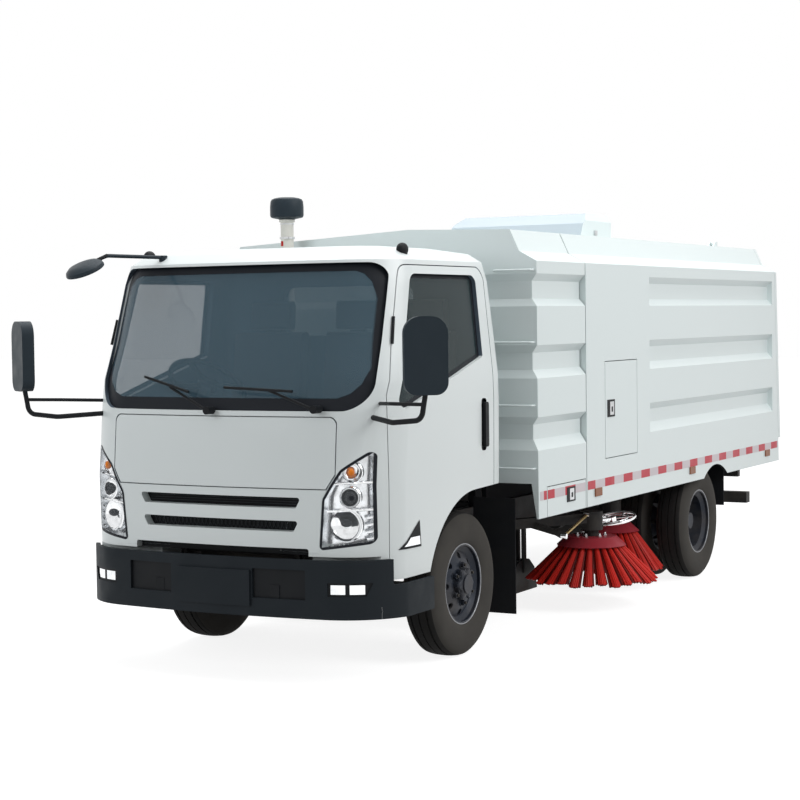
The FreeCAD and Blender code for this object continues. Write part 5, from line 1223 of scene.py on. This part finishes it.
class SWEEPER_OT_brushes(bpy.types.Operator):
    """Make the bristle fans and discs of the brushes, and dress their arms"""
    bl_idname = "sweeper.brushes"
    bl_label = "Brushes"

    def execute(self, context):
        for name, side in SIDES.items():
            for tag in ("front", "rear"):
                mesh = bmesh.new()
                x, behind, reach, tip_z, disc_radius = BRUSHES[tag]
                middle = Vector((x, row_y(behind), 0.0))
                self.bristles(mesh, context.scene.brush_sizes.bristles, middle, reach, tip_z, disc_radius)
                self.disc(mesh, middle, disc_radius)
                if side < 0:
                    mirror_x(mesh)
                dressed(f"{tag}_brush_{name}", mesh, ["bristle red", "bristle painted shade", "disc red",
                        "bright steel", "cast black"])
            dress("front_brush_arm_" + name, ["chassis black", "chrome", "brass"], 0.0012, arm_finish)
            dress("rear_brush_arm_" + name, ["chassis black"], 0.0015)
        return {"FINISHED"}

    def bristles(self, mesh, count, middle, reach, tip_z, disc_radius):
        """Bundles of tapered bristles fanned out in two rows, each bundle's middle arched upwards; the back
        row and the bundles' edges are darker, as painted shade between bundles.
        """
        chance = random.Random(7)
        for i in range(BUNDLES):
            angle = 2 * math.pi * (i + 0.5) / BUNDLES
            out = Vector((math.cos(angle), math.sin(angle), 0.0))
            across = Vector((-out.y, out.x, 0.0))
            shorter = SHORTER_STEP * (i % 3)
            for row in (0, 1):
                for j in range(count):
                    share = 2.0 * j / (count - 1) - 1.0
                    sunk = ARCH * share * share + ROW_DEPTH * row
                    root = middle + out * (disc_radius - ROOT_INSET - ROOT_ARCH * sunk)
                    root += across * share * ROOT_SPREAD
                    root.z = DISC_Z + ROOT_RISE - ROOT_ARCH * sunk
                    trim = chance.uniform(0.0, RAGGED) + ROUNDED * share * share
                    tip = middle + out * (reach - TIP_INSET - shorter - trim - sunk)
                    tip += across * (share * TIP_SPREAD + chance.uniform(-SWAY, SWAY))
                    tip.z = tip_z + TIP_RISE + shorter + trim * TRIM_RISE - TIP_ARCH * sunk
                    # The back row and the bundle's outer bristles take the darker red as painted shade
                    # between bundles.
                    dark = 1 if abs(share) > SHADED_EDGE_SHARE or row else 0
                    bar(mesh, root, tip, BRISTLE_RADIUS, dark, 6, BRISTLE_TIP_RADIUS)

    def disc(self, mesh, middle, radius):
        """The faceted disc with its bolts and the foot of its motor."""
        disc, steel, cast = 2, 3, 4
        low, high = middle + UP * DISC_Z, middle + UP * DISC_TOP
        bar(mesh, low, high, radius + DISC_FLARE, disc, DISC_SIDES, radius - DISC_TAPER)
        foot = middle + UP * (DISC_TOP - MOTOR_FOOT_SUNK)
        bar(mesh, foot, middle + UP * MOTOR_FOOT_Z, MOTOR_FOOT_RADIUS, cast, 32)
        for i in range(6):
            angle = math.pi * (i + 0.5) / 3
            place = middle + Vector((BOLT_CIRCLE * math.cos(angle), BOLT_CIRCLE * math.sin(angle), DISC_TOP))
            for height, bolt_radius, sides in BOLT_HEADS:
                bar(mesh, place, place + UP * height, bolt_radius, steel, sides)


# Stage

CAMERA_PLACE = (5.307, -10.835, 1.822)
CAMERA_YAW = 28.382
CAMERA_PITCH = 2.546
CAMERA_ROLL = -0.739
WHITE = (1.0, 1.0, 1.0)
FLOOR_GREY = (0.32, 0.32, 0.32)
FLOOR_GLOW = 0.86
WORLD_LEVEL = 0.36

# Lamps as name, place, aim, size, power and colour
LAMPS = (("key", (11.0, -1.0, 8.5), (0.0, 0.2, 1.0), 7.0, 830.0, WHITE),
         ("top", (0.0, 0.5, 9.0), (0.0, 0.3, 1.0), 9.0, 720.0, (0.97, 0.99, 1.0)),
         ("front", (-5.0, -12.0, 5.0), (0.0, -2.5, 1.2), 6.0, 440.0, (0.95, 0.98, 1.0)))


def seen_rays(nodes, links):
    """An output that is 1 for camera, transmission and glossy rays, and 0 for the others."""
    rays = nodes.new("ShaderNodeLightPath")
    seen = rays.outputs["Is Camera Ray"]
    for ray in ("Is Transmission Ray", "Is Glossy Ray"):
        larger = nodes.new("ShaderNodeMath")
        larger.operation = "MAXIMUM"
        links.new(seen, larger.inputs[0])
        links.new(rays.outputs[ray], larger.inputs[1])
        seen = larger.outputs["Value"]
    return seen


class SWEEPER_OT_stage(bpy.types.Operator):
    """Lay the floor and set the lights and the camera"""
    bl_idname = "sweeper.stage"
    bl_label = "Stage"

    def execute(self, context):
        scene = context.scene
        scene.view_settings.view_transform = "Standard"
        self.floor(scene)
        self.world(scene)
        self.lamps(scene)
        self.camera(scene)
        return {"FINISHED"}

    def floor(self, scene):
        """A pale floor that camera, glass and metal see as nearly white."""
        mesh = bmesh.new()
        bmesh.ops.create_grid(mesh, x_segments=1, y_segments=1, size=scene.stage_sizes.floor_half)
        data = bpy.data.meshes.new("floor")
        mesh.to_mesh(data)
        mesh.free()
        floor = bpy.data.objects.new("floor", data)
        scene.collection.objects.link(floor)
        ground = Finish("floor_white", FLOOR_GREY, 0.9)
        nodes, links = ground.nodes, ground.links
        glow = nodes.new("ShaderNodeEmission")
        glow.inputs["Color"].default_value = (*WHITE, 1.0)
        links.new(ground.maths("MULTIPLY", seen_rays(nodes, links), FLOOR_GLOW), glow.inputs["Strength"])
        add = nodes.new("ShaderNodeAddShader")
        links.new(ground.shader.outputs["BSDF"], add.inputs[0])
        links.new(glow.outputs["Emission"], add.inputs[1])
        links.new(add.outputs["Shader"], nodes["Material Output"].inputs["Surface"])
        data.materials.append(ground.material)

    def world(self, scene):
        """A backdrop of full white that lights the truck at WORLD_LEVEL."""
        world = bpy.data.worlds.new("studio")
        scene.world = world
        world.use_nodes = True
        nodes, links = world.node_tree.nodes, world.node_tree.links
        back = nodes["Background"]
        back.inputs["Color"].default_value = (*WHITE, 1.0)
        strength = nodes.new("ShaderNodeMapRange")
        strength.inputs["To Min"].default_value = WORLD_LEVEL
        strength.inputs["To Max"].default_value = 1.0
        links.new(seen_rays(nodes, links), strength.inputs["Value"])
        links.new(strength.outputs["Result"], back.inputs["Strength"])

    def lamps(self, scene):
        """Soft area lamps; the front one isn't mirrored in glass and metal."""
        for name, place, aim, size, power, colour in LAMPS:
            lamp = bpy.data.lights.new(name, "AREA")
            lamp.size = size
            lamp.energy = power
            lamp.color = colour
            light = bpy.data.objects.new(name, lamp)
            light.location = place
            light.rotation_euler = (Vector(aim) - Vector(place)).to_track_quat("-Z", "Y").to_euler()
            light.visible_glossy = name != "front"
            scene.collection.objects.link(light)

    def camera(self, scene):
        camera = bpy.data.cameras.new("camera")
        camera.sensor_width = 36.0
        camera.lens = scene.stage_sizes.lens
        camera.clip_end = 200.0
        view = bpy.data.objects.new("camera", camera)
        turn = Matrix.Rotation(math.radians(CAMERA_YAW), 4, "Z")
        turn = turn @ Matrix.Rotation(math.radians(90.0 - CAMERA_PITCH), 4, "X")
        turn = turn @ Matrix.Rotation(math.radians(CAMERA_ROLL), 4, "Z")
        view.matrix_world = Matrix.Translation(CAMERA_PLACE) @ turn
        scene.collection.objects.link(view)
        scene.camera = view


class SWEEPER_PT_panel(bpy.types.Panel):
    """The truck's pieces, sizes and colours"""
    bl_idname = "SWEEPER_PT_panel"
    bl_label = "Street Sweeper Truck"
    bl_space_type = "VIEW_3D"
    bl_region_type = "UI"
    bl_category = "Sweeper"

    def draw(self, context):
        for group in ("truck_tints", "cab_sizes", "body_sizes", "brush_sizes", "stage_sizes"):
            settings = getattr(context.scene, group)
            box = self.layout.box()
            for name in settings.bl_rna.properties.keys():
                if name not in ("rna_type", "name"):
                    box.prop(settings, name)
        for operator in OPERATORS:
            self.layout.operator(operator.bl_idname)


GROUPS = (("truck_tints", TruckTints), ("cab_sizes", CabSizes), ("body_sizes", BodySizes),
          ("brush_sizes", BrushSizes), ("stage_sizes", StageSizes))
OPERATORS = (SWEEPER_OT_cab, SWEEPER_OT_interior, SWEEPER_OT_fittings, SWEEPER_OT_body, SWEEPER_OT_wheels,
             SWEEPER_OT_chassis, SWEEPER_OT_brushes, SWEEPER_OT_stage)


def register():
    for name, group in GROUPS:
        bpy.utils.register_class(group)
        setattr(bpy.types.Scene, name, bpy.props.PointerProperty(type=group))
    for operator in OPERATORS:
        bpy.utils.register_class(operator)
    bpy.utils.register_class(SWEEPER_PT_panel)


def unregister():
    bpy.utils.unregister_class(SWEEPER_PT_panel)
    for operator in reversed(OPERATORS):
        bpy.utils.unregister_class(operator)
    for name, group in reversed(GROUPS):
        delattr(bpy.types.Scene, name)
        bpy.utils.unregister_class(group)


def main():
    register()
    make_finishes(bpy.context.scene.truck_tints)
    for operator in OPERATORS:
        group, name = operator.bl_idname.split(".")
        getattr(getattr(bpy.ops, group), name)()


if __name__ == "__main__":
    main()
